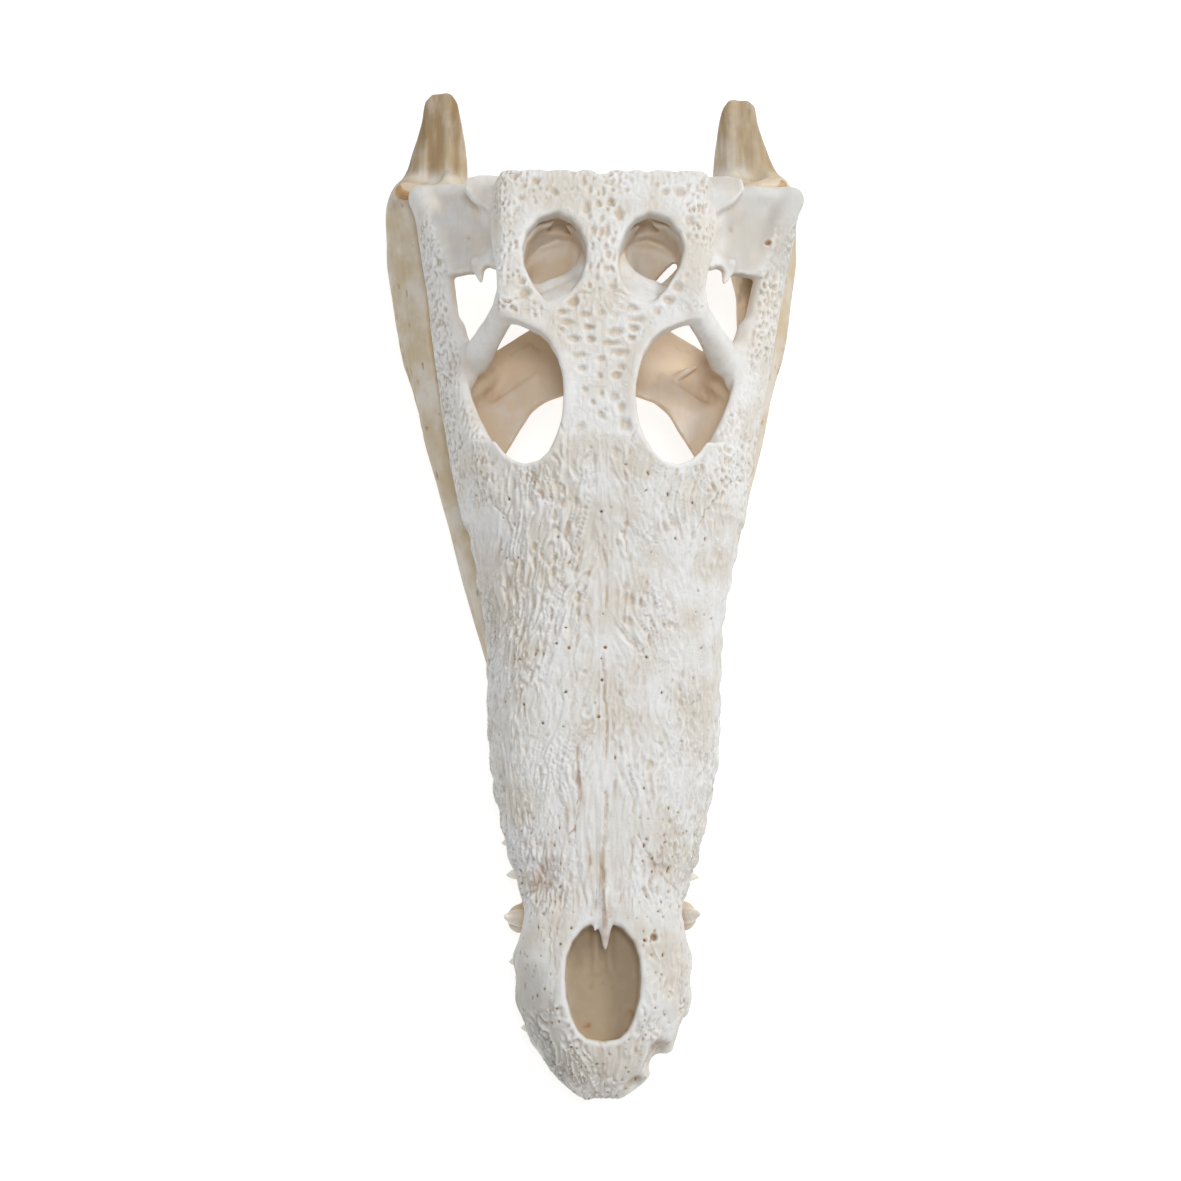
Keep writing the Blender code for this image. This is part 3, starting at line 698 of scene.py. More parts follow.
def add_middle_bones(solid):
    """Braincase, occiput and the bones along the midline of the palate."""
    for centre, radii, reach in (
        ((0, 415, 100), (16, 37, 21), 4), ((0, 440, 106), (53, 7.5, 16), 4),
        ((0, 455.5, 92), (8.2, 8.2, 7.2), 2),
    ):
        solid.add(ellipsoid(centre, radii), reach)
    add_bars(solid, 1, ((((0, 447, 92), (0, 442, 80), (0, 436, 68)), (10, 9, 8), 4),))
    solid.add(sheet(((-13, 448, 90), (13, 448, 90), (18, 438, 66), (-18, 438, 66)), 8), 4)
    add_bars(solid, 1, (
        (((0, 452, 84), (0, 447, 74), (0, 441, 66)), (2, 2.5, 3), 3),
        (((0, 440, 70), (0, 425, 62), (0, 395, 61)), (12, 10, 8), 4),
        (((0, 200, 57), (0, 280, 59), (0, 365, 61)), (15, 12.5, 12), 4),
        # Crest of the supraoccipital, between the temporal openings' rear walls
        (((0, 452, 118), (0, 450, 108), (0, 449, 98)), (2, 2.5, 2), 3),
    ))


def add_tooth_rims(solid):
    """The jaw's edge swells round each socket, so that seen from above it is scalloped."""
    for side in SIDES:
        for x, y, base, radius in upper_tooth_sockets():
            centre = (side * (x - 1.1), y, base + 4.5)
            solid.add(ellipsoid(centre, (min(radius + 2.6, 5.8), radius + 3.6, 6)), 5)


def shelf_height(side):
    """The bone in front of the temporal opening slopes down into it, rearwards and outwards."""
    return lambda x, y: 121.5 - 0.8 * np.maximum(0, 0.5 * side * x + 0.866 * y - 340)


def cut_side_openings(solid, side):
    """Cut one orbit, side opening and upper temporal opening, with the slits inside it."""
    solid.cut(well(mirrored_outline(ORBIT, side), 56), 1.2)
    solid.cut(well(mirrored_outline(SIDE_OPENING, side), 58), 1.2)
    solid.cut(well(mirrored_outline(TEMPORAL_OPENING, side), shelf_height(side)), 3)
    solid.cut(well(mirrored_outline(TEMPORAL_DEPTHS, side), 96), 1.6)
    solid.cut(bar(at(side, (26, 413, 99), (29, 410, 93), (32, 405, 87)), (12.5, 10.5, 7)), 4)
    solid.cut(ellipsoid(mirrored((21, 431, 101), side), (8, 4, 5.5)), 2)
    if side > 0:
        for t in np.linspace(0, 1, 5):
            slit = at(side, (27.7 + 8.4 * t, 401 + 9 * t, 99), (29.4 + 8.6 * t, 417 + 9 * t, 60))
            solid.cut(bar(slit, (1.4 + 1.1 * np.sin(2.6 * t), 1.9), 1), 0.5)
    bore = at(side, (28, 222, 50), (31, 248, 52), (35, 285, 54), (38, 334, 54))
    solid.cut(bar(bore, (3, 12.5, 16.5, 18.5), 16), 2)
    solid.cut(bar(at(side, (44, 330, 70), (40, 322, 62), (36, 312, 56)), (13, 12, 10)), 3)
    # Dip of the quadrate's upper side, and the crease in front of the rear corner
    solid.cut(bar(at(side, (63, 424, 98), (72, 436, 93), (82, 446, 88)), (5, 6.5, 5)), 5)
    solid.cut(bar(at(side, (57, 432, 104), (66, 441, 99), (76, 451, 94)), (1.6, 2, 1.8)), 1.5)
    # The canine of the lower jaw lies in a notch
    solid.cut(ellipsoid((side * 46.5, 90, 37), (6.5, 7.5, 17)), 3)


def cut_openings(solid):
    """Nostril, orbits, temporal and palate openings, foramen magnum and the broken front sockets."""
    for side in SIDES:
        cut_side_openings(solid, side)
    naris = NARIS + tuple((-x, y) for x, y in reversed(NARIS[1:-1]))
    solid.cut(well(naris, NARIS_FLOOR), 3)
    solid.cut(ellipsoid((0, 62, 52), (17, 24, 8)), 2)
    solid.cut(ellipsoid((0, 457, 105), (7.5, 14, 6)), 1)
    solid.cut(ellipsoid((0, 409, 53), (8, 9, 6)), 1)
    # Broken front of the left side
    solid.cut(ellipsoid((28.5, 23, 50), (6, 5, 12)), 1.2)
    solid.cut(ellipsoid((31, 15, 44), (10.5, 8, 17)), 1.5)
    solid.cut(ellipsoid((16.5, 5, 45), (5, 6, 6.5)), 1.2)
    # Wavy rear edge of the table, with a notch on the midline
    for x, size in ((-1, 3.0), (-14, 1.8), (12, 1.8), (22, 2.0), (-27, 1.6), (36, 1.5), (-41, 1.4)):
        solid.cut(ellipsoid((x, 453.8, 122), (size * 1.6, size * 1.4, 8)), 1.5)


def add_nasal_spike(solid):
    """The nasal bones end in a split point over the rear of the nostril."""
    solid.add(bar(((0.8, 98, 57.5), (1, 86, 58), (1, 69.5, 59.5)), (7, 4.2, 0.7)), 1)
    solid.add(bar(((-3.4, 98, 58.5), (-3.6, 86, 59.5), (-4.2, 77.5, 60)), (3.4, 2.2, 0.6)), 0.6)
    solid.add(bar(((5.4, 96, 58.5), (5.4, 88, 59.5), (6.4, 81.5, 60)), (3.2, 2, 0.6)), 0.6)
    # Low ridge with an arch on the floor of the nostril
    solid.add(bar(((-3.5, 82, 44.5), (-3, 70, 44), (-4, 60, 43)), (1.8, 1.6, 1)), 3)
    solid.add(bar(((2.5, 82, 44.5), (2.6, 70, 44), (4, 60, 43)), (1.8, 1.6, 1)), 3)
    solid.cut(ellipsoid((0, 48, 45), (6.5, 12, 2.6)), 2)


def cranium_solid(step):
    """The whole cranium without its fine relief."""
    solid = Solid((-113, -4, 14), (113, 474, 131), step)
    solid.add(lofted(snout_rings()), 0)
    solid.add(sheet(((-19, 28, 40), (19, 28, 40), (22, 100, 43), (-22, 100, 43)), 6), 2)
    solid.add(lofted(roof_rings()), 5)
    add_middle_bones(solid)
    for side in SIDES:
        add_side_bones(solid, side)
    add_tooth_rims(solid)
    cut_openings(solid)
    for side in SIDES:
        add_braces(solid, side)
    add_nasal_spike(solid)
    solid.soften(2)
    return solid


# Relief of the cranium's skin

# Seams between bones in plan, on the +X side and mirrored: each is a line of points
SUTURES = (
    ((1.4, -2), (1.7, 10), (1.6, 26)),
    ((0, 96), (0.8, 130), (-0.6, 170), (0.6, 215), (-0.4, 255), (0, 292)),
    ((8, 92), (12, 114), (14, 150), (15, 200), (14, 250), (9, 286)),
    ((13, 132), (20, 118), (29, 104), (41, 96)),
    ((0, 292), (6, 300), (10, 292), (14, 306), (20, 322)),
    ((14, 262), (24, 276), (33, 290), (38, 304)),
    ((40, 262), (48, 278), (58, 292), (68, 306)),
    ((0, 385), (10, 388), (20, 384)),
    ((30, 378), (38, 384), (48, 380)),
    ((40, 432), (47, 440), (52, 450)),
)
# Pits of the brow and of the skull table: x, y, half width, half length, depth
BROW_PITS = (
    (-13.6, 382.9, 2.8, 2.5, 1.5), (-18.7, 377.7, 3.1, 1.2, 1), (-7.9, 376.2, 2.7, 1.7, 1),
    (0.3, 377.2, 1.6, 1.4, 0.8), (-16.4, 372.4, 3.6, 1.4, 1), (-5.8, 369.8, 2.9, 1.5, 1.4),
    (-12.7, 364.3, 2.9, 1.5, 1.2), (-4.6, 364.1, 2.1, 1.5, 1.2), (16, 379.9, 6.7, 1.6, 1),
    (7.5, 367.8, 4, 2.1, 1.1), (17.5, 374.1, 4, 1.6, 1.2), (16.6, 369.6, 2.5, 1.8, 1.4),
    (15.5, 364.8, 2.2, 1.4, 1.4), (5.3, 361.9, 4.7, 1.4, 1.1), (9.3, 357.3, 5, 1.7, 1),
    (-9.5, 356.1, 3.6, 1.6, 0.9), (0.3, 354.5, 2.2, 1.6, 1), (-8.8, 349.6, 2.5, 1.5, 1),
    (8, 346, 2.5, 1.8, 1.3), (-0.3, 346.2, 1.6, 1.4, 0.8), (-7.6, 339.4, 1.8, 1.5, 0.8),
    (-3.9, 333.4, 1.3, 1.5, 1), (6.6, 335.7, 2.2, 2.9, 0.8), (10.5, 330.8, 2, 2.3, 1),
    (2.6, 329.7, 1.6, 1.6, 0.6), (0.6, 327.2, 2, 2.3, 0.9), (12.6, 322.1, 3.1, 3.7, 1.1),
    (-9.5, 321.9, 2.2, 2.5, 0.6), (0.6, 337.5, 1.1, 2.3, 0.8), (9.9, 350.2, 2.8, 1.8, 0.7),
    (-32.3, 375.8, 1.1, 1.2, 0.9), (-37.6, 387.3, 2, 1.8, 1), (8.1, 376.3, 3.4, 1.8, 0.5),
    (-19.5, 368.8, 1.1, 0.9, 0.8), (33, 384, 3.2, 2.2, 1.2), (38, 391, 3.4, 2.4, 1.1),
    (28, 378, 2.4, 2, 1),
)
TABLE_PITS = (
    (-44.5, 448.4, 2.4, 1.9, 1.2), (-34.1, 445.6, 2.4, 2.2, 1.4), (-24.6, 439.6, 2.1, 1.8, 1.1),
    (-41.3, 436.4, 1.6, 1.6, 0.9), (-40.1, 442.8, 1.6, 1.3, 0.8), (-44, 430.1, 1.8, 1.3, 0.7),
    (-33.9, 434.3, 1, 1.1, 0.7), (3.6, 434.1, 2.1, 1.9, 1.5), (7.7, 428.3, 2.4, 3.5, 1.3),
    (-8.4, 431, 2.1, 4, 1.2), (-7.2, 440.9, 1.2, 2.4, 0.9), (-1, 426.1, 1.3, 2.2, 0.9),
    (1.7, 419.8, 1.3, 3.8, 1), (-4.4, 419.8, 0.9, 3, 0.7), (-2.3, 414.2, 1, 1.2, 0.8),
    (1.1, 410.7, 1.6, 1.6, 0.9), (-5.5, 409.9, 1, 1.3, 0.7), (2.4, 399.5, 1.8, 1.6, 1),
    (-6.3, 400.9, 1.2, 1.9, 0.8), (-0.5, 403.7, 1, 1.3, 0.7), (5.6, 390.5, 2, 2.2, 0.9),
    (-2.6, 394.6, 1.2, 1.9, 0.8), (31.1, 440, 1.8, 1.6, 1.2), (38, 440, 4, 2.4, 1.2),
    (26.4, 443.9, 1.3, 1.1, 0.8), (11, 441, 1.8, 1.3, 0.9), (-39.1, 393, 2.2, 1.9, 1.2),
    (-37.5, 387.5, 3.1, 2.4, 1.2), (-50.9, 409.7, 1.3, 1.6, 0.6), (-9.9, 445.8, 1.2, 3.2, 0.9),
    (-15.3, 450.8, 1.3, 2.2, 0.7), (0.2, 448, 1.2, 2.2, 0.8), (5.6, 443.1, 1.2, 1.6, 0.6),
    (13.7, 446.6, 1.2, 1.6, 0.6), (20.4, 448.1, 1.8, 1.2, 0.5), (43, 425, 2.2, 2.4, 1),
    (42, 417, 1.6, 1.8, 0.8),
)
# Places with a mark of their own: x, y, radius, depth, stain
HOLLOWS = (
    (-28.5, 105, 9, 2.2, 0.45), (-22, 96, 6, 1.2, 0.25), (25, 110, 7, 1.4, 0.35),
    (24.7, 76.8, 1.7, 2.2, 1), (-17.7, 216.8, 0.9, 1.6, 1.3), (0.2, 216.9, 0.9, 1.6, 1.3),
    (-10, 205, 1.6, 1.2, 0.4), (84.6, 430.2, 2, 1.4, 1.1), (66, 434, 1.4, 0.6, 0.4),
    (-70, 430, 1.2, 0.6, 0.5), (-27.4, 102.8, 4, 0.4, 0.6), (-16, 122, 3, 0.2, 0.35),
    (-32, 123, 5, 0.2, 0.35), (24, 112, 3, 0.4, 0.6), (0, 108, 3, 0.1, 0.4), (0.5, 124, 2.2, 0.1, 0.4),
    (7, 100, 3, 0.1, 0.4), (14, 122, 3, 0.1, 0.35), (-4, 92, 4, 0, 0.45), (4, 88, 4, 0, 0.45),
)


def seam_depth(points, raised):
    """Seams between bones: 1 along the bottom of a seam."""
    depth = np.zeros(len(points))
    near = np.flatnonzero(raised > 0.05)
    place = points[near, :2].copy()
    place[:, 0] += 1.2 * cloud(points[near], (3, 3, 9), 41) + 2.2 * cloud(points[near], (14, 14, 20), 44)
    place[:, 1] += 1.2 * cloud(points[near], (3, 3, 9), 42) + 2.2 * cloud(points[near], (14, 14, 20), 45)
    least = np.full(len(near), 1e3)
    for line in SUTURES:
        for side in SIDES:
            least = np.minimum(least, line_distance(place, np.array([(side * x, y) for x, y in line])))
    kept = fade(cloud(points[near], (9, 12, 9), 43), -0.45, 0.25)
    depth[near] = fade(least, 0.75, 0.1) * raised[near] * kept
    return depth


def marks(points, raised):
    """Depth and stain of the hollows that have a place of their own."""
    depth, stain = np.zeros(len(points)), np.zeros(len(points))
    wobble = 1 + 0.25 * cloud(points, 5, 51)
    for x, y, radius, deep, colour in HOLLOWS:
        away = np.hypot(points[:, 0] - x, points[:, 1] - y) / radius * wobble
        depth = np.maximum(depth, deep * fade(away, 1.25, 0.25) * raised)
        stain = np.maximum(stain, colour * fade(away, 1.5, 0.3) * raised)
    return depth, stain


def opening_rims(x, y):
    """Distance in plan to the edge of the nearest opening in the roof."""
    outlines = (NARIS_HALF, ORBIT, TEMPORAL_OPENING)
    return np.minimum.reduce([outline_distance(x, y, outline) for outline in outlines])


def lopsided(points):
    """The skull's middle leans a little to one side behind the snout, as a real one does."""
    x, y = points[:, 0], points[:, 1]
    lean = LEAN * fade(y, 262, 335) * (1 - 0.4 * fade(y, 385, 415)) * (1 - np.clip(x / 100, -1, 1) ** 4)
    return points - np.stack((lean, np.zeros_like(x), np.zeros_like(x)), axis=1)


def skin_coordinates(points):
    """Place on the skin: distance round it from the midline, and station."""
    drop = np.maximum(0, roof_height(points[:, 1]) - points[:, 2])
    girth = points[:, 0] + np.sign(points[:, 0]) * 0.85 * drop
    return np.stack((girth, points[:, 1]), axis=1)


def relief_zones(points, normals):
    """How much of each kind of relief there is at each point: table, brow, cheek and snout."""
    x, z = np.abs(points[:, 0]), points[:, 2]
    y = points[:, 1] + 7 * cloud(points, (10, 10, 20), 46)
    up = normals[:, 2]
    rim = opening_rims(x, points[:, 1])
    table = fade(up, 0.3, 0.7) * fade(y, 374, 384) * fade(z, 110, 114) * fade(rim, 0.5, 3.5)
    brow = fade(up, 0.3, 0.7) * fade(y, 300, 320) * fade(y, 390, 380) * fade(z, 94, 100) * fade(rim, 2, 6.5)
    cheek_out = (x - cheek_x(y)) * math.cos(CHEEK_LEAN) + (z - cheek_z(y)) * math.sin(CHEEK_LEAN)
    cheek = fade(cheek_out, 0.5, 3) * fade(y, 268, 300) * fade(y, 456, 436) * fade(x, 48, 56)
    cheek *= fade(z, 50, 56) * fade(z, 98, 90) * fade(rim, 1, 4)
    snout = fade(y, 326, 302) * fade(z - tooth_line(y), 2, 7) * fade(up, -0.3, 0.1) * fade(rim, 1, 4.5)
    return table, brow, cheek, snout * (1 - cheek)


def placed_pits(points, raised):
    """The larger pits of the brow and table, each in its own place: 0 on open bone, deeper inside."""
    depth = np.zeros(len(points))
    near = np.flatnonzero(raised > 0.05)
    drift = np.stack([cloud(points[near], 3, seed) for seed in (52, 53)], axis=1)
    place = points[near, :2] + 0.5 * drift
    wobble = 1 + 0.2 * cloud(points[near], 2.6, 54)
    deepest = np.zeros(len(near))
    for x, y, half_across, half_along, deep in BROW_PITS + TABLE_PITS:
        away = np.hypot((place[:, 0] - x) / half_across, (place[:, 1] - y) / half_along) * wobble
        deepest = np.maximum(deepest, deep * fade(away, 1.5, 0.2))
    depth[near] = deepest * np.minimum(1, 2 * raised[near])
    return depth


def pitted(flat, points, table, brow, cheek):
    """Small pits along the sides of the table and brow, and a net of narrow ones on the cheeks."""
    bent = drifted(flat, 1.5, 6, 11)
    across = np.abs(flat[:, 0])
    small = pits(drifted(flat, 0.8, 4, 14), (3.1, 3.4), 24, 0.72, (0.22, 0.46))
    long = pits(bent, (3.4, 6.4), 29, 0.7, (0.2, 0.44))
    sides = fade(across, 38, 44) * fade(cloud(points, 9, 17), -0.6, 0.1)
    middle = fade(across, 11, 6) * fade(flat[:, 1], 384, 392)
    rear = fade(flat[:, 1], 430, 440) * fade(cloud(points, 8, 18), -0.2, 0.5)
    on_table = np.maximum.reduce((0.8 * small * sides, 0.7 * long * middle, 0.5 * small * rear))
    on_brow = 0.6 * small * fade(across, 17, 24) * fade(cloud(points, 8, 19), -0.3, 0.5)
    net = np.maximum(pits(bent, (3.6, 5.4), 31, 0.8, (0.2, 0.46)), 0.6 * small)
    net *= 0.25 + 0.6 * fade(cloud(points, (14, 14, 14), 20), -0.5, 0.3)
    placed = placed_pits(points, np.maximum(table, brow))
    return np.maximum.reduce((table * on_table, brow * on_brow, cheek * net, 0.75 * placed))


def shingled(points, scale, seed, steps):
    """Long overlapping flakes: the ground rises slowly across each flake and drops at its edge."""
    rise = cloud(points, scale, seed) + 0.5 * cloud(points, np.array(scale) * 0.5, seed + 1)
    level = steps * rise
    part = level - np.floor(level)
    return np.where(part < 0.78, part / 0.78, (1 - part) / 0.22), rise


def snout_relief(flat, points, snout):
    """Long flaky ridges and pits that run along the snout and lean outwards to the front."""
    y = flat[:, 1]
    spread = flat.copy()
    spread[:, 0] *= 55 / np.maximum(half_width(y), 14)
    leaning = spread.copy()
    leaning[:, 0] += 0.2 * y * np.sign(flat[:, 0])
    bent = drifted(drifted(leaning, 4.5, (16, 26), 60), 1.3, (4, 8), 61)
    busy = 0.45 + 0.55 * fade(cloud(points, (20, 26, 20), 68), -0.45, 0.3)
    nasal = fade(np.abs(points[:, 0] - 1), 19, 13) * fade(y, 152, 143) * fade(y, 84, 92)
    midline = fade(np.abs(flat[:, 0]), 8, 2)
    front = fade(y, 100, 80)
    flakes, rise = shingled(bent, (3.3, 24), 64, 1.5)
    fine, _ = shingled(bent, (1.9, 13), 66, 1.0)
    troughs = pits(bent, (4.6, 9), 67, 0.42, (0.16, 0.44))
    carved = 0.7 * flakes + 0.32 * fine + 0.15 * rise + 0.42 * troughs - 0.42
    # The front has fewer, broader and more curled flakes
    curled = drifted(drifted(spread, 5, 12, 73), 1.2, 4, 78)
    broad, broad_rise = shingled(curled, (8, 13), 75, 1.3)
    etched = 0.3 + 0.7 * fade(cloud(points, (12, 16, 12), 97), -0.25, 0.25)
    shallow = (1.5 * broad * fade(cloud(points, 11, 76), -0.5, 0.2) + 0.35 * broad_rise - 0.5) * etched
    shallow += 0.4 * troughs * etched
    beside_nostril = fade(points[:, 0], -8, -13) * fade(y, 34, 46) * fade(y, 122, 104)
    shallow *= 1 - 0.6 * beside_nostril
    strips, _ = shingled(spread, (3.0, 60), 77, 1.4)
    strips = 0.75 * strips + 0.25 * cloud(spread, (1.4, 40), 79) + 0.3 * cloud(spread, (5, 30), 80) - 0.3
    depth = carved * (1 - front) + shallow * front
    straight = np.maximum(nasal, 0.7 * midline)
    depth = (depth * (1 - straight) + strips * straight) * busy
    # Painted shade in the troughs and at the foot of each flake's edge
    crease_shade_and_highlight = np.clip(0.5 * troughs * busy + 0.3 * flakes**6, 0, 1) * (1 - straight) * 0.5
    holes = pits(drifted(flat, 3, 9, 71), (9, 11), 72, 0.28, (0.05, 0.085)) * (1 - 0.6 * nasal)
    pores = pits(drifted(flat, 2, 7, 86), (5, 6.5), 87, 0.6, (0.08, 0.16)) * fade(y, 150, 125) * (1 - nasal)
    holes = np.maximum(holes, 0.75 * pores)
    return depth * snout, crease_shade_and_highlight * snout, holes * snout


def cranium_relief(points, normals, sizes):
    """How deep the skin is carved at each point in mm, how much painted shade (pits, grooves, seams) and
    painted highlight it gets, its smoothness and stain.
    """
    flat = skin_coordinates(points)
    table, brow, cheek, snout = relief_zones(points, normals)
    cells = pitted(flat, points, table, brow, cheek)
    carved, snout_crease_shade, holes = snout_relief(flat, points, snout)
    depth = sizes.pit_depth / MM * (cells - 0.12 * (table + brow + 2 * cheek) * (1 - cells) ** 2)
    depth += 0.5 * (table + brow) * shingled(drifted(flat, 2, 6, 83), (3.4, 8), 84, 1.2)[0]
    depth += sizes.groove_depth / MM * carved + 1.5 * holes
    seams = seam_depth(points, fade(normals[:, 2], 0.2, 0.6) * fade(points[:, 2], 44, 50))
    depth += sizes.suture_depth / MM * seams
    spot_depth, stain = marks(points, fade(normals[:, 2], 0.1, 0.5))
    depth += spot_depth
    amber_seam = fade(points[:, 0], -4, -8) * fade(points[:, 1], 158, 146) * fade(points[:, 1], 106, 118)
    stain = np.maximum(stain, 0.9 * seams * amber_seam)
    # Smooth raised lip round the nostril
    edge = outline_distance(np.abs(points[:, 0]), points[:, 1], NARIS_HALF)
    lip = fade(np.abs(edge - 1.6), 3, 0.5) * fade(points[:, 2], 50, 56) * fade(normals[:, 2], 0, 0.4)
    depth -= 0.3 * lip * fade(np.hypot(points[:, 0], points[:, 1] - 86), 7, 13)
    # Faint unevenness everywhere
    depth += 0.2 * cloud(points, 6, 81) + 0.07 * cloud(points, 2.4, 82)
    # Painted shade in pits, grooves, holes and seams
    crease_shade_and_highlight = np.maximum.reduce((cells * 0.4, snout_crease_shade, holes * 1.3, 0.5 * seams))
    rough = np.clip(table + brow + cheek + snout, 0, 1)
    return depth, crease_shade_and_highlight, 1 - rough, stain


def painted_shade_zones(points):
    """Where bone is painted darker than its share of sky says: the nostril's inside, as painted shade, and
    the quadrates a little.
    """
    x, y, z = np.abs(points[:, 0]), points[:, 1], points[:, 2]
    naris = fade(outline_distance(x, y, NARIS_HALF), 1, -1) * fade(z, 59.5, 54)
    return np.maximum(naris, 0.3 * joint_bones(points))


def temporal_walls(points):
    """Bone in the temporal openings: 1 well inside, 0 on the outer skin."""
    x, y, z = np.abs(points[:, 0]), points[:, 1], points[:, 2]
    return fade(outline_distance(x, y, TEMPORAL_DEPTHS), 4, 0) * fade(z, 108, 96)


def joint_bones(points):
    """The quadrates: 1 on them, 0 elsewhere."""
    x, z = np.abs(points[:, 0]), points[:, 2]
    y = points[:, 1] + 9 * cloud(points, 9, 94)
    return fade(x, 58, 66) * fade(y, 400, 414) * fade(z, 101, 96) * fade(y, 472, 455)


def greyed_and_shaded(points):
    """Grey tint on the quadrates, more on the +X side, and on the rear corners of the braincase; painted
    shade on the -X side of the snout's tip.
    """
    x, y = points[:, 0], points[:, 1] + 12 * cloud(points, 14, 95)
    joints = joint_bones(points) * np.where(x > 0, 0.55, 0.15)
    lobes = 0.3 * fade(x, 48, 54) * fade(y, 424, 434) * fade(points[:, 2], 98, 101)
    # Painted shade on the -X side of the snout's tip
    tip = 0.6 * fade(x, -10, -24) * fade(y, 74, 52)
    return np.maximum.reduce((joints, lobes, tip)) * fade(cloud(points, 20, 96), -1.1, -0.1)


# Amber and yellow patches: x, y, z, radius, strength
STAINS = (
    (-57, 371, 58, 5, 0.5), (52, 370, 62, 9, 0.35), (-7.4, 35, 43, 2.2, 1.6), (13.1, 41, 43, 3.2, 0.7),
    (0, 73, 44, 1.8, 0.4), (-0.5, 67, 44, 1.8, 0.45), (0, 61, 44, 1.8, 0.5), (0, 55, 43, 2, 0.5),
    (-5.5, 53, 43, 2.4, 0.45), (5.5, 53, 43, 2.4, 0.35), (-61, 356, 50, 13, 0.5),
    (58, 360, 50, 14, 0.5), (38.5, 362, 56, 3, 0.5), (-33, 409, 98, 8, 0.5), (-28, 432, 98, 4, 0.6),
    (21, 431, 98, 5, 0.5), (-12, 36, 41, 4, 0.35), (-70, 457, 72, 9, 0.3), (-35, 398, 90, 12, 0.4),
    (0.5, 92, 60, 9, 0.3), (-14, 42, 41, 5, 0.3), (-96, 461, 70, 8, 0.4), (96, 461, 70, 8, 0.35),
    (1, 76, 60, 8, 0.6), (28, 24, 48, 8, 0.65), (17, 6, 44, 7, 0.6), (72, 318, 78, 8, 0.2),
    (-66, 316, 80, 8, 0.2),
)
# Amber left in the long grooves of the nasals and in the seam under the nostril: line, width, strength
STREAKS = (
    (((-13, 156), (-10, 134), (-7, 112)), 2.8, 0.82), (((-1.5, 116), (0.5, 92), (1, 76)), 3.6, 0.68),
    (((5.5, 152), (3.5, 124)), 2.2, 0.6), (((0, 23), (0.5, 3)), 1.6, 0.7),
    (((29, 120), (25, 108)), 2.0, 0.7), (((-18, 136), (-24, 118), (-33, 103)), 9, 0.58),
)


def cranium_stains(points):
    """Amber and yellow patches with a place of their own."""
    stain = np.zeros(len(points))
    wobble, ragged = 1 + 0.4 * cloud(points, 6, 91), 1 + 0.7 * cloud(points, 1.6, 92)
    for *place, radius, strength in STAINS:
        away = np.linalg.norm(points - np.array(place), axis=1) / radius
        away = away * (wobble if radius > 4 else ragged)
        stain = np.maximum(stain, strength * fade(away, 1.3, 0.2))
    grain = 0.35 + 0.65 * fade(cloud(points, (1.6, 26, 20), 99), -0.3, 0.35)
    for line, width, strength in STREAKS:
        away = line_distance(points[:, :2], np.array(line)) / width
        stain = np.maximum(stain, strength * grain * fade(away, 1, 0.1) * fade(points[:, 2], 36, 42))
    return stain


# Light from above: bone that the open sky reaches is bleached; the rest is tan, partly its own colour and
# partly painted shade

class OpenSky:
    """How much of the sky each place near the bones sees, on a coarse grid."""

    STEP = 3.0
    LOW = (-123, -12, -6)
    HIGH = (123, 546, 138)

    def __init__(self):
        self.grid = Solid(self.LOW, self.HIGH, self.STEP)
        self.seen = None

    def block(self, points, normals):
        """Mark the cells that hold bone, from points just under its skin."""
        for deep in (1.0, 3.0):
            inside = points - normals * deep
            cell = np.round((inside - self.grid.low) / self.STEP).astype(int)
            cell = np.clip(cell, 0, self.grid.size - 1)
            self.grid.value[cell[:, 0], cell[:, 1], cell[:, 2]] = -1

    def look_up(self):
        """Share of directions above the horizon that are free at each cell."""
        solid = self.grid.value < 0
        total = np.zeros(solid.shape, np.float32)
        weights = 0.0
        for tilt, turns in ((0, 1), (25, 6), (50, 8), (70, 8)):
            for turn in range(turns):
                angle = 2 * math.pi * (turn + 0.5) / turns
                lean = math.tan(math.radians(tilt))
                weight = math.cos(math.radians(tilt))
                total += weight * self.free_along(solid, lean * math.cos(angle), lean * math.sin(angle))
                weights += weight
        self.seen = total / weights

    def free_along(self, solid, lean_x, lean_y):
        """Cells that a straight line up to the sky leaves without meeting bone."""
        free = np.ones(solid.shape, bool)
        for level in range(solid.shape[2] - 2, -1, -1):
            above = free[:, :, level + 1] & ~solid[:, :, level + 1]
            free[:, :, level] = shifted(above, -lean_x, -lean_y, level)
        return free

    def at(self, points, normals):
        """How much sky each point of a skin sees."""
        place = (points + normals * 3.2 - self.grid.low) / self.STEP
        base = np.clip(np.floor(place).astype(int), 0, self.grid.size - 2)
        part = np.clip(place - base, 0, 1)
        total = np.zeros(len(points))
        for corner in itertools.product((0, 1), repeat=3):
            cell = base + np.array(corner)
            weight = np.prod(np.where(corner, part, 1 - part), axis=1)
            total += weight * self.seen[cell[:, 0], cell[:, 1], cell[:, 2]]
        return total


def shifted(layer, step_x, step_y, level):
    """A layer moved by a part of a cell, whole cells at a time so that the sum is right."""
    move_x = round(step_x * (level + 1)) - round(step_x * level)
    move_y = round(step_y * (level + 1)) - round(step_y * level)
    return np.roll(layer, (move_x, move_y), axis=(0, 1))


# Lower jaw

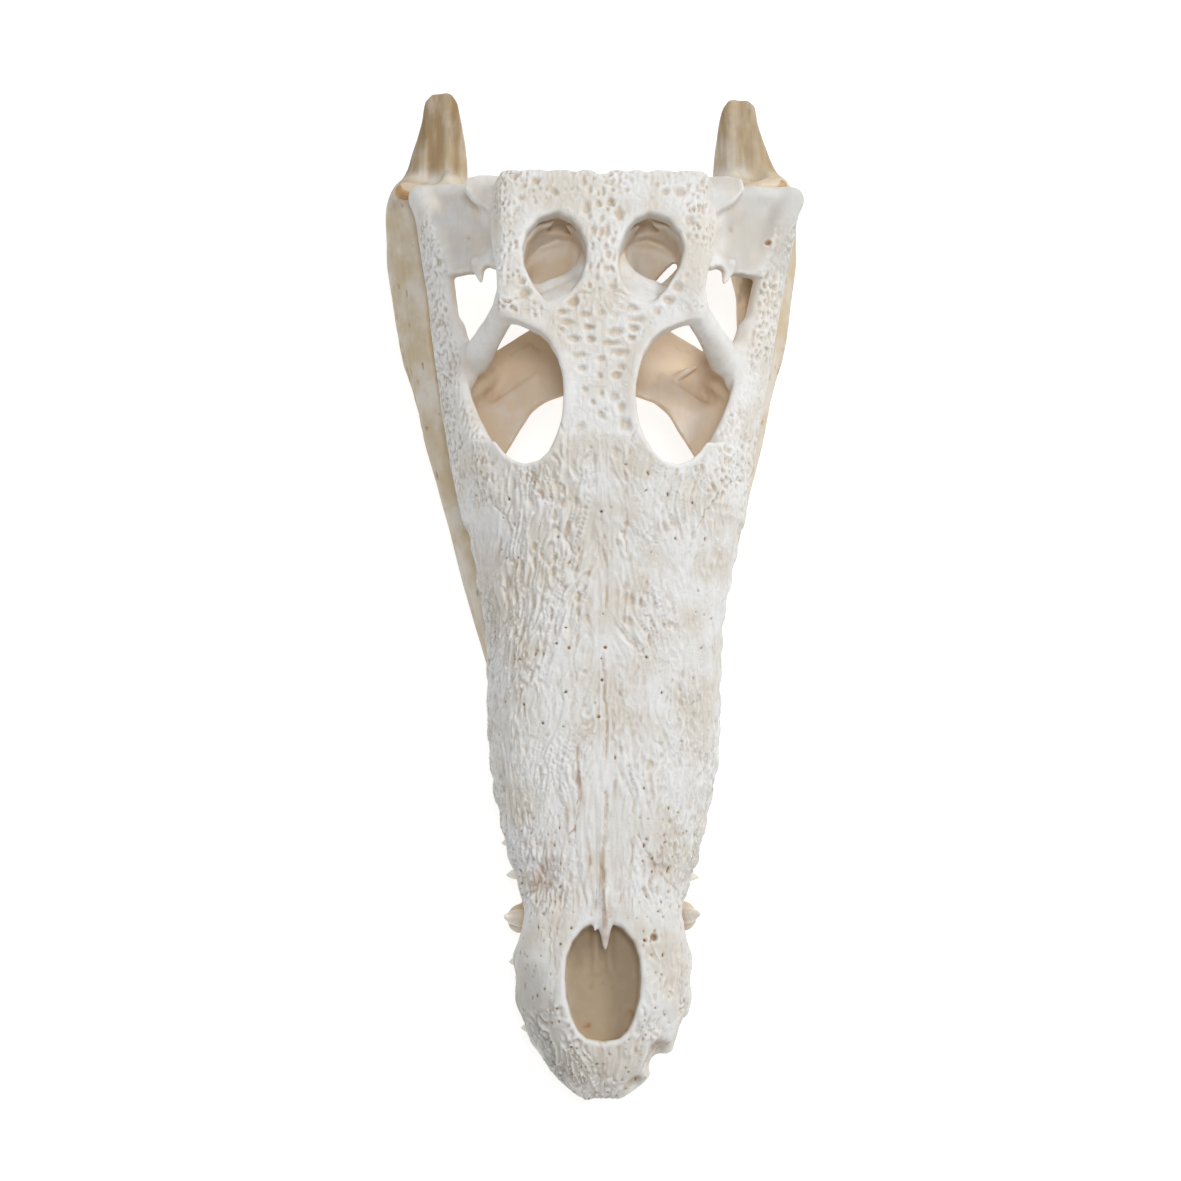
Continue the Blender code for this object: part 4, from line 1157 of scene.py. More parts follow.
def ramus_rings(side):
    """One half of the lower jaw, from the chin to the rear spur."""
    angle = np.linspace(0, 2 * np.pi, 56, endpoint=False)
    across = signed_power(np.cos(angle), RAMUS_SQUARENESS)
    up = signed_power(np.sin(angle), RAMUS_SQUARENESS)
    rings = []
    for y in np.linspace(RAMUS[0][0], RAMUS[-1][0], 140):
        inner, outer, base, top = ramus_inner(y), ramus_outer(y), ramus_base(y), ramus_top(y)
        stretch = SPUR_STRETCH[side] if y > SPUR_ROOT else 1
        x = (inner + outer) / 2 + (outer - inner) / 2 * across - ramus_lean(y) * np.maximum(0, up)
        z = (top + base) / 2 + (top - base) / 2 * up
        station = np.full_like(x, SPUR_ROOT + (y - SPUR_ROOT) * stretch)
        rings.append(np.stack((side * x, station, z), axis=1))
    return rings


def ramus_solid(side, step):
    """One half of the lower jaw without its fine relief."""
    inner, outer = sorted((-6 * side, 118 * side))
    solid = Solid((inner, 8, -3), (outer, 538, 74), step)
    solid.add(lofted(ramus_rings(side)), 0)
    # Lip of the joint socket
    solid.add(bar(at(side, (74, 469.5, 59.5), (90, 473, 62), (103, 470, 60)), (2.5, 4, 2.5)), 4)
    for y, x, radius, _, _ in lower_tooth_sockets():
        solid.add(ellipsoid((side * x, y, float(ramus_top(y)) - 3.5), (radius + 2.2, radius + 2.8, 4.5)), 4)
    solid.cut(ellipsoid(mirrored((90, 366, 22), side), (30, 18, 7)), 2)
    solid.add(bar(at(side, (72, 285, 28), (88, 345, 36), (91, 372, 38), (98, 402, 40)), (3, 4, 4.5, 4)), 5)
    solid.cut(bar(at(side, (79, 362, 57), (82, 395, 62), (84, 432, 66)), (6, 9, 8)), 2)
    solid.cut(bar(at(side, (87, 484, 67), (83, 502, 66), (80, 540, 73)), (12, 11.5, 9)), 2)
    ends = turned(np.array(at(side, JOINT_INNER, JOINT_OUTER)), -JAW_TURN)
    knob = bar(ends, (JOINT_RADIUS + 0.4, JOINT_RADIUS + 0.4))
    solid.soften(1)
    solid.cut(knob, 0.5)
    trim = solid.low[2] + solid.step * np.arange(solid.size[2])
    solid.value = np.maximum(solid.value, (FLOOR_TRIM - trim).astype(np.float32))
    chin = solid.low[0] + solid.step * np.arange(solid.size[0])
    solid.value[:, :int(110 / step)] = np.maximum(
        solid.value[:, :int(110 / step)], (CHIN_GAP / 2 - side * chin).astype(np.float32)[:, None, None])
    return solid


def ramus_relief(points, normals, side):
    """Carving depth, painted shade of the slits, holes and pits, smoothness and stain of the lower jaw."""
    x, y, z = points[:, 0] * side, points[:, 1], points[:, 2]
    up = normals[:, 2]
    out = fade(normals[:, 0] * side, 0.1, 0.5)
    flat = np.stack((z - x, y), axis=1)
    dentary = fade(y, 250, 200) * fade(up, 0.5, 0.2)
    fibres = cloud(drifted(flat, 1, 12, 111), (3.2, 30), 101)
    slits = pits(flat, (9, 24), 103, 0.35, (0.06, 0.1)) * fade(y, 475, 460)
    holes = pits(flat, (7, 9), 104, 0.5, (0.09, 0.16)) * dentary
    net = pits(drifted(flat, 1.2, 5, 114), (4.4, 7), 105, 0.9, (0.26, 0.46))
    net *= out * fade(y, 320, 360) * fade(y, 468, 440) * fade(z, 40, 30)
    wander = 1.5 * cloud(points, 9, 106)
    line = fade(np.abs(x - 84 - wander), 6, 1) * fade(y, 480, 496) * fade(up, 0.2, 0.6)
    seam = fade(np.abs(z - 22 - 0.09 * (y - 250) - 1.6 * wander), 1.1, 0.2) * out
    depth = 0.28 * np.clip(fibres, -0.5, 1) + 1.0 * slits + 1.2 * holes + 1.0 * net
    depth += 0.5 * fade(y, 488, 500) * cloud(np.stack((x, y / 8), axis=1), 6, 110)
    depth += 0.3 * line + 0.5 * seam * fade(y, 235, 250) * fade(y, 455, 440) + 0.25 * cloud(points, 8, 107)
    # Painted shade in the slits, holes and net of pits
    crease_shade_and_highlight = np.maximum.reduce((slits, holes, 0.6 * net))
    spur = fade(y, 474, 488) * fade(up, -0.2, 0.4)
    inner_edge = fade(np.abs(x - 73), 5, 1) * spur * fade(y, 494, 506)
    bands = fade(cloud(np.stack((x, y / 6), axis=1), 4.5, 109), -0.5, 0.6)
    # Stain on the spurs, banded, with amber along the inner edge; the -X spur gets more, partly as painted
    # shade on that side
    stain = (0.72 + 0.18 * (side < 0)) * spur * (0.7 + 0.3 * bands) + 0.3 * inner_edge
    stain = np.maximum(stain, 0.5 * fade(np.abs(y - 467), 9, 2) * fade(up, 0.1, 0.6))
    return depth, crease_shade_and_highlight, 1 - np.clip(dentary + net, 0, 1), stain


# Teeth

def upper_tooth_sockets():
    """x, y, height of the jaw's edge and radius of each upper tooth on one side."""
    first, last, count = UPPER_CHEEK_TEETH
    rows = [(x, y, float(tooth_line(y)), radius) for y, x, radius in UPPER_FRONT_TEETH]
    for y in np.linspace(first, last, count):
        large = math.exp(-(((y - BIG_TOOTH_STATION) / BIG_TOOTH_SPREAD) ** 2))
        radius = UPPER_TOOTH_RADIUS + (LARGEST_UPPER_TOOTH - UPPER_TOOTH_RADIUS) * large
        rows.append((float(half_width(y)) - UPPER_TOOTH_INSET, float(y), float(tooth_line(y)), radius))
    return rows


def lower_tooth_sockets():
    """Station, x, radius, length and splay of each lower tooth on one side."""
    rows = [(y, x, radius, 3.2 * radius, 0.0) for y, x, radius in LOWER_FRONT_TEETH]
    rows.append((*LOWER_CANINE, LOWER_CANINE_LENGTH, LOWER_CANINE_SPLAY))
    first, last, count = LOWER_CHEEK_TEETH
    for y in np.linspace(first, last, count):
        x = float((ramus_inner(y) + ramus_outer(y)) / 2 - ramus_lean(y))
        rows.append((float(y), x, LOWER_CHEEK_RADIUS, LOWER_CHEEK_LENGTH, 0.0))
    return rows


def upper_teeth_places():
    """Root, tip and radius of each upper tooth."""
    places = []
    for side in SIDES:
        for x, y, base, radius in upper_tooth_sockets():
            if side > 0 and y < 25:
                continue
            long = y < LAST_LONG_TOOTH
            length = 3.1 * radius - 1.0 if long else 5.5
            splay = 0.16 if long else 0.05
            root = np.array((side * (x - TOOTH_ROOT * splay), y, base + TOOTH_ROOT))
            tip = np.array((side * (x + length * splay), y + 0.5, base - length))
            for out_side, out_y, out_x, out_z in OUTWARD_TEETH:
                if out_side == side and abs(out_y - y) < 7:
                    root = np.array((side * (out_x - 8), out_y, out_z + 5))
                    tip = np.array((side * out_x, out_y - 0.5, out_z))
            places.append((tuple(root), tuple(tip), radius))
    return places


def lower_teeth_places(side):
    """Root, tip and radius of each tooth in one half of the lower jaw."""
    places = []
    for y, x, radius, length, splay in lower_tooth_sockets():
        top = float(ramus_top(y)) - 0.5
        root = (side * (x - TOOTH_ROOT * splay), y, top - TOOTH_ROOT)
        tip = (side * (x + length * splay), y, top + length)
        places.append((turned(np.array([root]))[0], turned(np.array([tip]))[0], radius))
    return places


def turned(points, angle=JAW_TURN):
    """Points turned a little about the chin, as the lower jaw lies askew under the cranium."""
    c, s = math.cos(angle), math.sin(angle)
    x, y = points[:, 0], points[:, 1] - JAW_TURN_STATION
    return np.stack((c * x - s * y, s * x + c * y + JAW_TURN_STATION, points[:, 2]), axis=1)


# Meshes in the row frame

def row_frame(points):
    """Metres in the row frame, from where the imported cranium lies."""
    low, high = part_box("cranium")
    shift = np.array(((low.x + high.x) / 2, low.y, -FLOOR_TRIM * MM))
    return points * MM + shift


def mesh_of(name, points, faces, layers):
    """Mesh from arrays, with one number per point for each layer."""
    mesh = bpy.data.meshes.new(name)
    mesh.vertices.add(len(points))
    mesh.vertices.foreach_set("co", row_frame(points).astype(np.float32).ravel())
    mesh.loops.add(faces.size)
    mesh.loops.foreach_set("vertex_index", faces.astype(np.int32).ravel())
    mesh.polygons.add(len(faces))
    mesh.polygons.foreach_set("loop_start", np.arange(0, faces.size, faces.shape[1], dtype=np.int32))
    mesh.update(calc_edges=True)
    for layer, values in layers.items():
        attribute = mesh.attributes.new(layer, "FLOAT", "POINT")
        attribute.data.foreach_set("value", values.astype(np.float32))
    mesh.polygons.foreach_set("use_smooth", np.ones(len(faces), bool))
    return mesh


def link(name, mesh):
    """Put an object with this data into the scene."""
    item = bpy.data.objects.new(name, mesh)
    bpy.context.scene.collection.objects.link(item)
    return item


def plain_mesh(item):
    """The object's mesh with its modifiers applied; the object keeps it and drops the modifiers."""
    bpy.context.view_layer.update()
    mesh = bpy.data.meshes.new_from_object(item.evaluated_get(bpy.context.evaluated_depsgraph_get()))
    item.modifiers.clear()
    item.data = mesh
    return mesh


def lightened(item, triangles):
    """Fewer triangles where the skin is smooth, keeping its shape."""
    now = sum(len(face.vertices) - 2 for face in item.data.polygons)
    if now > triangles:
        step = item.modifiers.new("lighten", "DECIMATE")
        step.ratio = triangles / now
    return plain_mesh(item)


def finish_piece(item, material, node):
    """Give a piece its material and say which node it replaces."""
    item.data.materials.clear()
    item.data.materials.append(material)
    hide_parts(node)
    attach(item, "root")


def keep_normals(mesh):
    """Store the smooth normals of the whole skin, so that a cut across it doesn't show."""
    count = len(mesh.vertices)
    normals = np.empty(count * 3, np.float32)
    mesh.vertex_normals.foreach_get("vector", normals)
    attribute = mesh.attributes.new("whole_normal", "FLOAT_VECTOR", "POINT")
    attribute.data.foreach_set("vector", normals)


def slab(mesh, name, low, high):
    """The part of a skin between two planes across it, closed with flat caps."""
    shape = bmesh.new()
    shape.from_mesh(mesh)
    near, far = low - CUT_MARGIN * MM, high + CUT_MARGIN * MM
    outside = [f for f in shape.faces if all(v.co.y < near or v.co.y > far for v in f.verts)]
    bmesh.ops.delete(shape, geom=outside, context="FACES")
    cap_layer = shape.faces.layers.int.new("cap")
    for level, facing in ((low, -1), (high, 1)):
        everything = shape.verts[:] + shape.edges[:] + shape.faces[:]
        cut = bmesh.ops.bisect_plane(
            shape, geom=everything, dist=1e-7, plane_co=(0, level, 0), plane_no=(0, facing, 0),
            clear_outer=True)
        edges = [e for e in cut["geom_cut"] if isinstance(e, bmesh.types.BMEdge) and e.is_boundary]
        if edges:
            made = bmesh.ops.triangle_fill(shape, use_beauty=True, edges=edges, normal=(0, facing, 0))
            for face in made["geom"]:
                if isinstance(face, bmesh.types.BMFace):
                    face[cap_layer] = 1
                    face.smooth = False
                    if face.normal.y * facing < 0:
                        face.normal_flip()
    piece = bpy.data.meshes.new(name)
    shape.to_mesh(piece)
    shape.free()
    return piece


def restore_normals(mesh):
    """Shade a cut piece with the whole skin's normals, and its caps flat."""
    count, corners = len(mesh.vertices), len(mesh.loops)
    whole = np.empty(count * 3, np.float32)
    mesh.attributes["whole_normal"].data.foreach_get("vector", whole)
    whole = whole.reshape(-1, 3)
    whole /= np.linalg.norm(whole, axis=1, keepdims=True) + 1e-12
    index = np.empty(corners, np.int32)
    mesh.loops.foreach_get("vertex_index", index)
    normals = whole[index]
    caps = np.empty(len(mesh.polygons), np.int32)
    mesh.attributes["cap"].data.foreach_get("value", caps)
    for face in np.flatnonzero(caps):
        polygon = mesh.polygons[face]
        normals[polygon.loop_start:polygon.loop_start + polygon.loop_total] = polygon.normal
    mesh.normals_split_custom_set(normals.tolist())
    mesh.attributes.remove(mesh.attributes["whole_normal"])
    mesh.attributes.remove(mesh.attributes["cap"])


# Materials

def set_up(tree, node, settings):
    """Set a node's properties and inputs. A setting that is another node's output is linked."""
    for name, value in settings.items():
        if isinstance(value, bpy.types.NodeSocket):
            tree.links.new(value, node.inputs[name])
        elif isinstance(name, str) and hasattr(node, name):
            setattr(node, name, value)
        else:
            node.inputs[name].default_value = value


def add_node(tree, kind, settings):
    """Add a node with its settings and links, and give its outputs."""
    node = tree.nodes.new(kind)
    set_up(tree, node, settings)
    return node.outputs


def new_material(name):
    """A material, its node tree and its shader."""
    material = bpy.data.materials.new(name)
    material.use_nodes = True
    tree = material.node_tree
    return material, tree, tree.nodes["Principled BSDF"]


def smooth_step(low, high, least=0.0, most=1.0):
    """Settings for a smooth change from least to most while a value goes from low to high."""
    span = {"From Min": low, "From Max": high, "To Min": least, "To Max": most}
    return {"interpolation_type": "SMOOTHSTEP", **span}


def lumps(tree, place, size_mm, detail, stretch=1):
    """Cloudy pattern with lumps of a real size, drawn longer along the skull if stretch is over 1."""
    if stretch > 1:
        place = add_node(tree, "ShaderNodeMapping", {"Scale": (1, 1 / stretch, 1), "Vector": place})[0]
    settings = {"Scale": 1 / (size_mm * MM), "Detail": detail, "Roughness": 0.55, "Vector": place}
    return add_node(tree, "ShaderNodeTexNoise", settings)["Fac"]


def painted(tree, colour, layers):
    """Colours laid over a colour, each where its mask and the mask's span from low to high say."""
    colour = (*colour, 1)
    for mask, span, tint in layers:
        if span:
            mask = add_node(tree, "ShaderNodeMapRange", {"Value": mask, **smooth_step(*span)})[0]
        settings = {"data_type": "RGBA", 0: mask, 6: colour, 7: (*tint, 1)}
        colour = add_node(tree, "ShaderNodeMix", settings)[2]
    return colour


def bone_layers(tree):
    """What the skin's own attributes say: painted shade and highlight, polish, stain, open sky, and grey
    tint with painted shade.
    """
    return [
        add_node(tree, "ShaderNodeAttribute", {"attribute_name": layer})["Fac"]
        for layer in ("crease_shade_and_highlight", "polish", "stain", "open_sky", "grey_tint_and_shade")]


def bleached(tree, place, open_sky):
    """How far the sun bleached the bone, which also sets how much painted shade it gets. The edge of the
    bleaching is uneven.
    """
    uneven = {"operation": "MULTIPLY_ADD", 0: lumps(tree, place, 9, 4), 1: 0.22, 2: -0.11}
    sum_of = {"operation": "ADD", 0: open_sky, 1: add_node(tree, "ShaderNodeMath", uneven)[0]}
    return add_node(tree, "ShaderNodeMath", sum_of)[0]


def mottled(tree, place, stain, banding):
    """Stains are mottled, or banded along the spurs."""
    patches = {"Value": lumps(tree, place, 3.4, 5, banding), **smooth_step(0.3, 0.62, 0.7, 1.0)}
    product = {"operation": "MULTIPLY", 0: stain, 1: add_node(tree, "ShaderNodeMapRange", patches)[0]}
    return add_node(tree, "ShaderNodeMath", product)[0]


def bone_grain(tree, place, polish, fibre_mm):
    """Bumps of fibres and pores, weaker where the bone is polished."""
    # Real fibres are about 0.2 mm apart and are drawn four to six times as coarse, or they would not show
    fibres, pores = lumps(tree, place, fibre_mm, 4, stretch=5), lumps(tree, place, 1.1, 5)
    grain = {"operation": "ADD", 0: fibres, 1: pores}
    roughened = {"Value": polish, **smooth_step(0, 1, 0.62, 0.3)}
    bump = {
        "Distance": 0.0004, "Strength": add_node(tree, "ShaderNodeMapRange", roughened)[0],
        "Height": add_node(tree, "ShaderNodeMath", grain)[0],
    }
    return add_node(tree, "ShaderNodeBump", bump)[0]


def bone_material(name, base, cloudy, edge_highlight, stained, fibre_mm, banding):
    """Dry bone: chalky and matt, bleached in the sun, tan where it sees little sky (partly its own colour,
    partly painted shade), with painted shade in pits and creases, a painted highlight on raised edges and a
    fine fibrous grain.
    """
    material, tree, shader = new_material(name)
    place = add_node(tree, "ShaderNodeTexCoord", {})["Object"]
    crease_shade_and_highlight, polish, stain, open_sky, grey_tint_and_shade = bone_layers(tree)
    light = bleached(tree, place, open_sky)
    colour = painted(tree, base, (
        (lumps(tree, place, 26, 4), (0.38, 0.66), cloudy),
        (lumps(tree, place, 3.2, 5), (0.45, 0.75, 0.0, 0.22), srgb("#CFC5B4")),
        (lumps(tree, place, 4.5, 4, stretch=6), (0.5, 0.72, 0.0, 0.24), srgb("#CDB9A8")),
        # Bone that sees little sky is tan, partly its own colour and partly painted shade, and is painted
        # darkest as shade where no sky reaches it
        (light, (0.62, 0.2, 0.0, 0.92), bpy.context.scene.skull_colours.shaded_bone),
        (light, (0.2, 0.06, 0.0, 0.95), srgb("#A8957B")),
        # Grey tint on the joint bones, and painted shade on one side of the snout's tip
        (grey_tint_and_shade, None, srgb("#B5B2AB")),
        # Painted highlight: raised edges are painted white. Painted shade: pits, grooves and creases are
        # painted tan, and the deepest holes dark brown
        (crease_shade_and_highlight, (-0.06, -0.5, 0.0, 0.5), edge_highlight),
        (crease_shade_and_highlight, (0.12, 1.0, 0.0, 0.62), srgb("#BBA07B")),
        (crease_shade_and_highlight, (1.0, 1.3, 0.0, 0.8), srgb("#5A4630")),
        (mottled(tree, place, stain, banding), (0.05, 1.15, 0.0, 0.95), stained),
    ))
    gloss = {"Value": lumps(tree, place, 5, 3), **smooth_step(0.3, 0.7, 0.5, 0.72)}
    set_up(tree, shader, {
        "Base Color": colour, "Roughness": add_node(tree, "ShaderNodeMapRange", gloss)[0],
        "Specular IOR Level": 0.35, "Normal": bone_grain(tree, place, polish, fibre_mm),
    })
    return material


def tooth_material():
    """Dentine and enamel: smoother than bone, ivory at the tip and browner towards the root."""
    material, tree, shader = new_material("tooth_enamel")
    place = add_node(tree, "ShaderNodeTexCoord", {})["Object"]
    root = add_node(tree, "ShaderNodeAttribute", {"attribute_name": "root"})["Fac"]
    bump = {"Strength": 0.35, "Distance": 0.0003, "Height": lumps(tree, place, 0.8, 3)}
    set_up(tree, shader, {
        "Base Color": painted(tree, bpy.context.scene.skull_colours.tooth, (
            (lumps(tree, place, 1.6, 4), (0.35, 0.7, 0.0, 0.3), srgb("#CBB99D")),
            (root, (0.5, 1.0, 0.0, 0.45), srgb("#B9A686")),
        )),
        "Roughness": 0.34, "Normal": add_node(tree, "ShaderNodeBump", bump)[0],
    })
    return material


def tissue_material():
    """Dried cartilage and ligament: horn-like, orange-brown, slightly see-through and shiny."""
    material, tree, shader = new_material("dried_cartilage")
    place = add_node(tree, "ShaderNodeTexCoord", {})["Object"]
    pale = add_node(tree, "ShaderNodeAttribute", {"attribute_name": "pale"})["Fac"]
    bump = {"Strength": 0.5, "Distance": 0.0005, "Height": lumps(tree, place, 1.6, 4)}
    set_up(tree, shader, {
        "Base Color": painted(tree, bpy.context.scene.skull_colours.tissue, (
            (lumps(tree, place, 5, 4), (0.4, 0.7, 0.0, 0.5), srgb("#A0733F")),
            # Pale lip on its upper side: partly its own colour, partly a painted highlight
            (pale, (0.1, 0.9), srgb("#DCCAB0")),
        )),
        "Roughness": 0.38, "Subsurface Weight": 0.15, "Subsurface Radius": (0.003, 0.0015, 0.0006),
        "Normal": add_node(tree, "ShaderNodeBump", bump)[0],
    })
    return material


# Tooth geometry

# Outline of a tooth: share of its length from the root, share of its radius. The first two are the ends
TOOTH_OUTLINE = ((0.0, 0.86), (1.0, 0.05), (0.22, 1.0), (0.5, 0.86), (0.78, 0.5), (0.93, 0.24))
TOOTH_RIBS = 5.0
TOOTH_LEVELS = 16
TOOTH_SOCKETS = (
    ("Geometry", "INPUT", "Geometry"), ("Sides", "INPUT", "Int"), ("Rib Depth", "INPUT", "Float"),
    ("Geometry", "OUTPUT", "Geometry"),
)


def tooth_outline(tree, height):
    """How wide the tooth is at each height, as a share of its radius."""
    wide = add_node(tree, "ShaderNodeFloatCurve", {"Value": height})[0]
    curve = wide.node.mapping.curves[0]
    for knot, location in zip(curve.points, TOOTH_OUTLINE[:2]):
        knot.location = location
    for along, share in TOOTH_OUTLINE[2:]:
        curve.points.new(along, share)
    wide.node.mapping.update()
    return wide


def tooth_shape(tree, start):
    """A blunt ribbed cone, one unit long, that remembers how near its root each point is."""
    tube = add_node(tree, "GeometryNodeMeshCylinder", {
        "Side Segments": TOOTH_LEVELS, "Fill Segments": 2, "Radius": 1.0, "Depth": 1.0,
        "Vertices": start["Sides"]})
    place = add_node(tree, "GeometryNodeInputPosition", {})[0]
    split = add_node(tree, "ShaderNodeSeparateXYZ", {"Vector": place})
    height = add_node(tree, "ShaderNodeMath", {"operation": "ADD", 0: split["Z"], 1: 0.5})[0]
    # Ribs run up the crown
    turn = add_node(tree, "ShaderNodeMath", {"operation": "ARCTAN2", 0: split["Y"], 1: split["X"]})[0]
    wave = add_node(tree, "ShaderNodeMath", {"operation": "MULTIPLY", 0: turn, 1: TOOTH_RIBS})[0]
    rib = add_node(tree, "ShaderNodeMath", {"operation": "COSINE", 0: wave})[0]
    shallow = add_node(tree, "ShaderNodeMath", {"operation": "MULTIPLY", 0: rib, 1: start["Rib Depth"]})[0]
    wide = add_node(tree, "ShaderNodeMath", {"operation": "ADD", 0: shallow, 1: 1.0})[0]
    radius = {"operation": "MULTIPLY", 0: tooth_outline(tree, height), 1: wide}
    radius = add_node(tree, "ShaderNodeMath", radius)[0]
    x, y = (
        add_node(tree, "ShaderNodeMath", {"operation": "MULTIPLY", 0: split[axis], 1: radius})[0]
        for axis in "XY")
    point = add_node(tree, "ShaderNodeCombineXYZ", {"X": x, "Y": y, "Z": height})[0]
    shape = add_node(tree, "GeometryNodeSetPosition", {"Geometry": tube["Mesh"], "Position": point})[0]
    fall = add_node(tree, "ShaderNodeMath", {"operation": "SUBTRACT", 0: 1.0, 1: height})[0]
    return add_node(tree, "GeometryNodeStoreNamedAttribute", {
        "data_type": "FLOAT", "domain": "POINT", "Name": "root", "Geometry": shape, "Value": fall})[0]


def tooth_tree(material):
    """Node tree that sets a tooth on each point, aimed and sized by the point's attributes."""
    tree = bpy.data.node_groups.new("tooth_row", "GeometryNodeTree")
    for name, way, kind in TOOTH_SOCKETS:
        tree.interface.new_socket(name, in_out=way, socket_type="NodeSocket" + kind)
    start = add_node(tree, "NodeGroupInput", {})
    aim, size = (
        add_node(tree, "GeometryNodeInputNamedAttribute", {"data_type": "FLOAT_VECTOR", "Name": name})[0]
        for name in ("aim", "size"))
    turned_to = add_node(tree, "FunctionNodeAlignRotationToVector", {"axis": "Z", "Vector": aim})[0]
    placed = add_node(tree, "GeometryNodeInstanceOnPoints", {
        "Points": start["Geometry"], "Instance": tooth_shape(tree, start), "Rotation": turned_to,
        "Scale": size})[0]
    real = add_node(tree, "GeometryNodeRealizeInstances", {"Geometry": placed})[0]
    smooth = add_node(tree, "GeometryNodeSetShadeSmooth", {"Geometry": real})[0]
    enamelled = add_node(tree, "GeometryNodeSetMaterial", {"Material": material, "Geometry": smooth})[0]
    add_node(tree, "NodeGroupOutput", {"Geometry": enamelled})
    return tree


def tooth_row(name, places, material):
    """Object with one tooth for each root, tip and radius."""
    roots = np.array([p[0] for p in places], float)
    tips = np.array([p[1] for p in places], float)
    lengths = np.linalg.norm(tips - roots, axis=1)
    mesh = bpy.data.meshes.new(name)
    mesh.vertices.add(len(places))
    mesh.vertices.foreach_set("co", row_frame(roots).astype(np.float32).ravel())
    radii = np.array([p[2] for p in places]) * MM
    sizes = np.stack((radii, radii, lengths * MM), axis=1)
    for layer, values in (("aim", (tips - roots) / lengths[:, None]), ("size", sizes)):
        item = mesh.attributes.new(layer, "FLOAT_VECTOR", "POINT")
        item.data.foreach_set("vector", values.astype(np.float32).ravel())
    row = link(name, mesh)
    tree = tooth_tree(material)
    step = row.modifiers.new("tooth_row", "NODES")
    step.node_group = tree
    values = {"Sides": bpy.context.scene.skull_sizes.tooth_sides, "Rib Depth": 0.035}
    for socket in tree.interface.items_tree:
        if socket.in_out == "INPUT" and socket.name in values:
            step[socket.identifier] = values[socket.name]
    plain_mesh(row)
    bpy.data.node_groups.remove(tree)
    return row


# Operators

# Bones that were modelled last, kept for the operators that share them
MODELLED = {}


def modelled_bones(sizes):
    """Skins of the cranium and of both halves of the lower jaw, and how much sky each place sees."""
    grain = (sizes.cranium_grain, sizes.jaw_grain)
    if MODELLED.get("grain") == grain:
        return MODELLED
    coarse = 1.0
    sky = OpenSky()
    cranium = cranium_solid(sizes.cranium_grain / MM * coarse).skin()
    normals = vertex_normals(*cranium)
    sky.block(cranium[0], normals)
    MODELLED["cranium"] = (*cranium, normals)
    for side in SIDES:
        points, faces = ramus_solid(side, sizes.jaw_grain / MM * coarse).skin()
        normals = vertex_normals(points, faces)
        relief = ramus_relief(points, normals, side)
        carved = turned(points - normals * relief[0][:, None])
        MODELLED[side] = (carved, faces, vertex_normals(carved, faces), relief)
        sky.block(carved, MODELLED[side][2])
    sky.look_up()
    MODELLED["sky"] = sky
    MODELLED["grain"] = grain
    return MODELLED


class SKULL_OT_cranium(Operator):
    """Build the cranium, pitted and grooved, in pieces from the snout tip to the skull table"""

    bl_idname = "skull.cranium"
    bl_label = "Build Cranium"

    def execute(self, context):
        sizes, colours = context.scene.skull_sizes, context.scene.skull_colours
        bones = modelled_bones(sizes)
        points, faces, normals = bones["cranium"]
        # The third colour is the painted highlight on raised edges
        material = bone_material(
            "bleached_bone", colours.bone, colours.warm_bone, srgb("#F5F4F0"), colours.amber,
            fibre_mm=0.9, banding=2)
        depth, crease_shade_and_highlight, polish, stain = cranium_relief(points, normals, sizes)
        carved = points - normals * depth[:, None]
        # Painted shade: bone deep inside is never painted quite dark, except in the nostril, and is painted
        # pale in the temporal openings
        least_sky = 0.24 + 0.17 * temporal_walls(points) * (1 - 0.6 * fade(cloud(points, 9, 98), -0.1, 0.5))
        sky = np.maximum(bones["sky"].at(points, normals), least_sky) * (1 - painted_shade_zones(points))
        layers = {
            # Painted shade in pits, grooves and creases, and painted highlight on raised edges
            "crease_shade_and_highlight": crease_shade_and_highlight + 0.42 * creases(carved, faces, normals) * fade(sky, 0.2, 0.5),
            "polish": polish,
            "stain": np.maximum(stain, cranium_stains(points)),
            # Grey tint, and painted shade on the -X side of the snout's tip
            "grey_tint_and_shade": greyed_and_shaded(points),
            "open_sky": sky,
        }
        whole = link("cranium_skin", mesh_of("cranium_skin", lopsided(carved), faces, layers))
        mesh = lightened(whole, CRANIUM_TRIANGLES)
        keep_normals(mesh)
        start = -1.0
        for name, end in CRANIUM_CUTS:
            level = float(row_frame(np.array([[0, end, 0]]))[0][1])
            piece = slab(mesh, name, start, level)
            restore_normals(piece)
            finish_piece(link(name, piece), material, "cranium")
            start = level
        bpy.data.objects.remove(whole, do_unlink=True)
        return {"FINISHED"}


class SKULL_OT_lower_jaw(Operator):
    """Build both halves of the lower jaw"""

    bl_idname = "skull.lower_jaw"
    bl_label = "Build Lower Jaw"

    def execute(self, context):
        sizes, colours = context.scene.skull_sizes, context.scene.skull_colours
        bones = modelled_bones(sizes)
        # The third colour is the painted highlight on raised edges
        material = bone_material(
            "cream_bone", colours.jaw_bone, colours.warm_bone, srgb("#E6D9BE"), srgb("#8B6C3F"),
            fibre_mm=1.2, banding=14)
        for side, node in ((-1, "mandible_right"), (1, "mandible_left")):
            points, faces, normals, (_, crease_shade_and_highlight, polish, stain) = bones[side]
            layers = {
                # Painted shade in pits and creases, and painted highlight on raised edges
                "crease_shade_and_highlight": crease_shade_and_highlight + 0.4 * creases(points, faces, normals),
                "polish": polish,
                "stain": stain,
                # Share of sky, which sets the jaw's tan and painted shade
                "open_sky": bones["sky"].at(points, normals),
            }
            half = link(node + "_bone", mesh_of(node + "_bone", points, faces, layers))
            lightened(half, RAMUS_TRIANGLES)
            finish_piece(half, material, node)
        return {"FINISHED"}


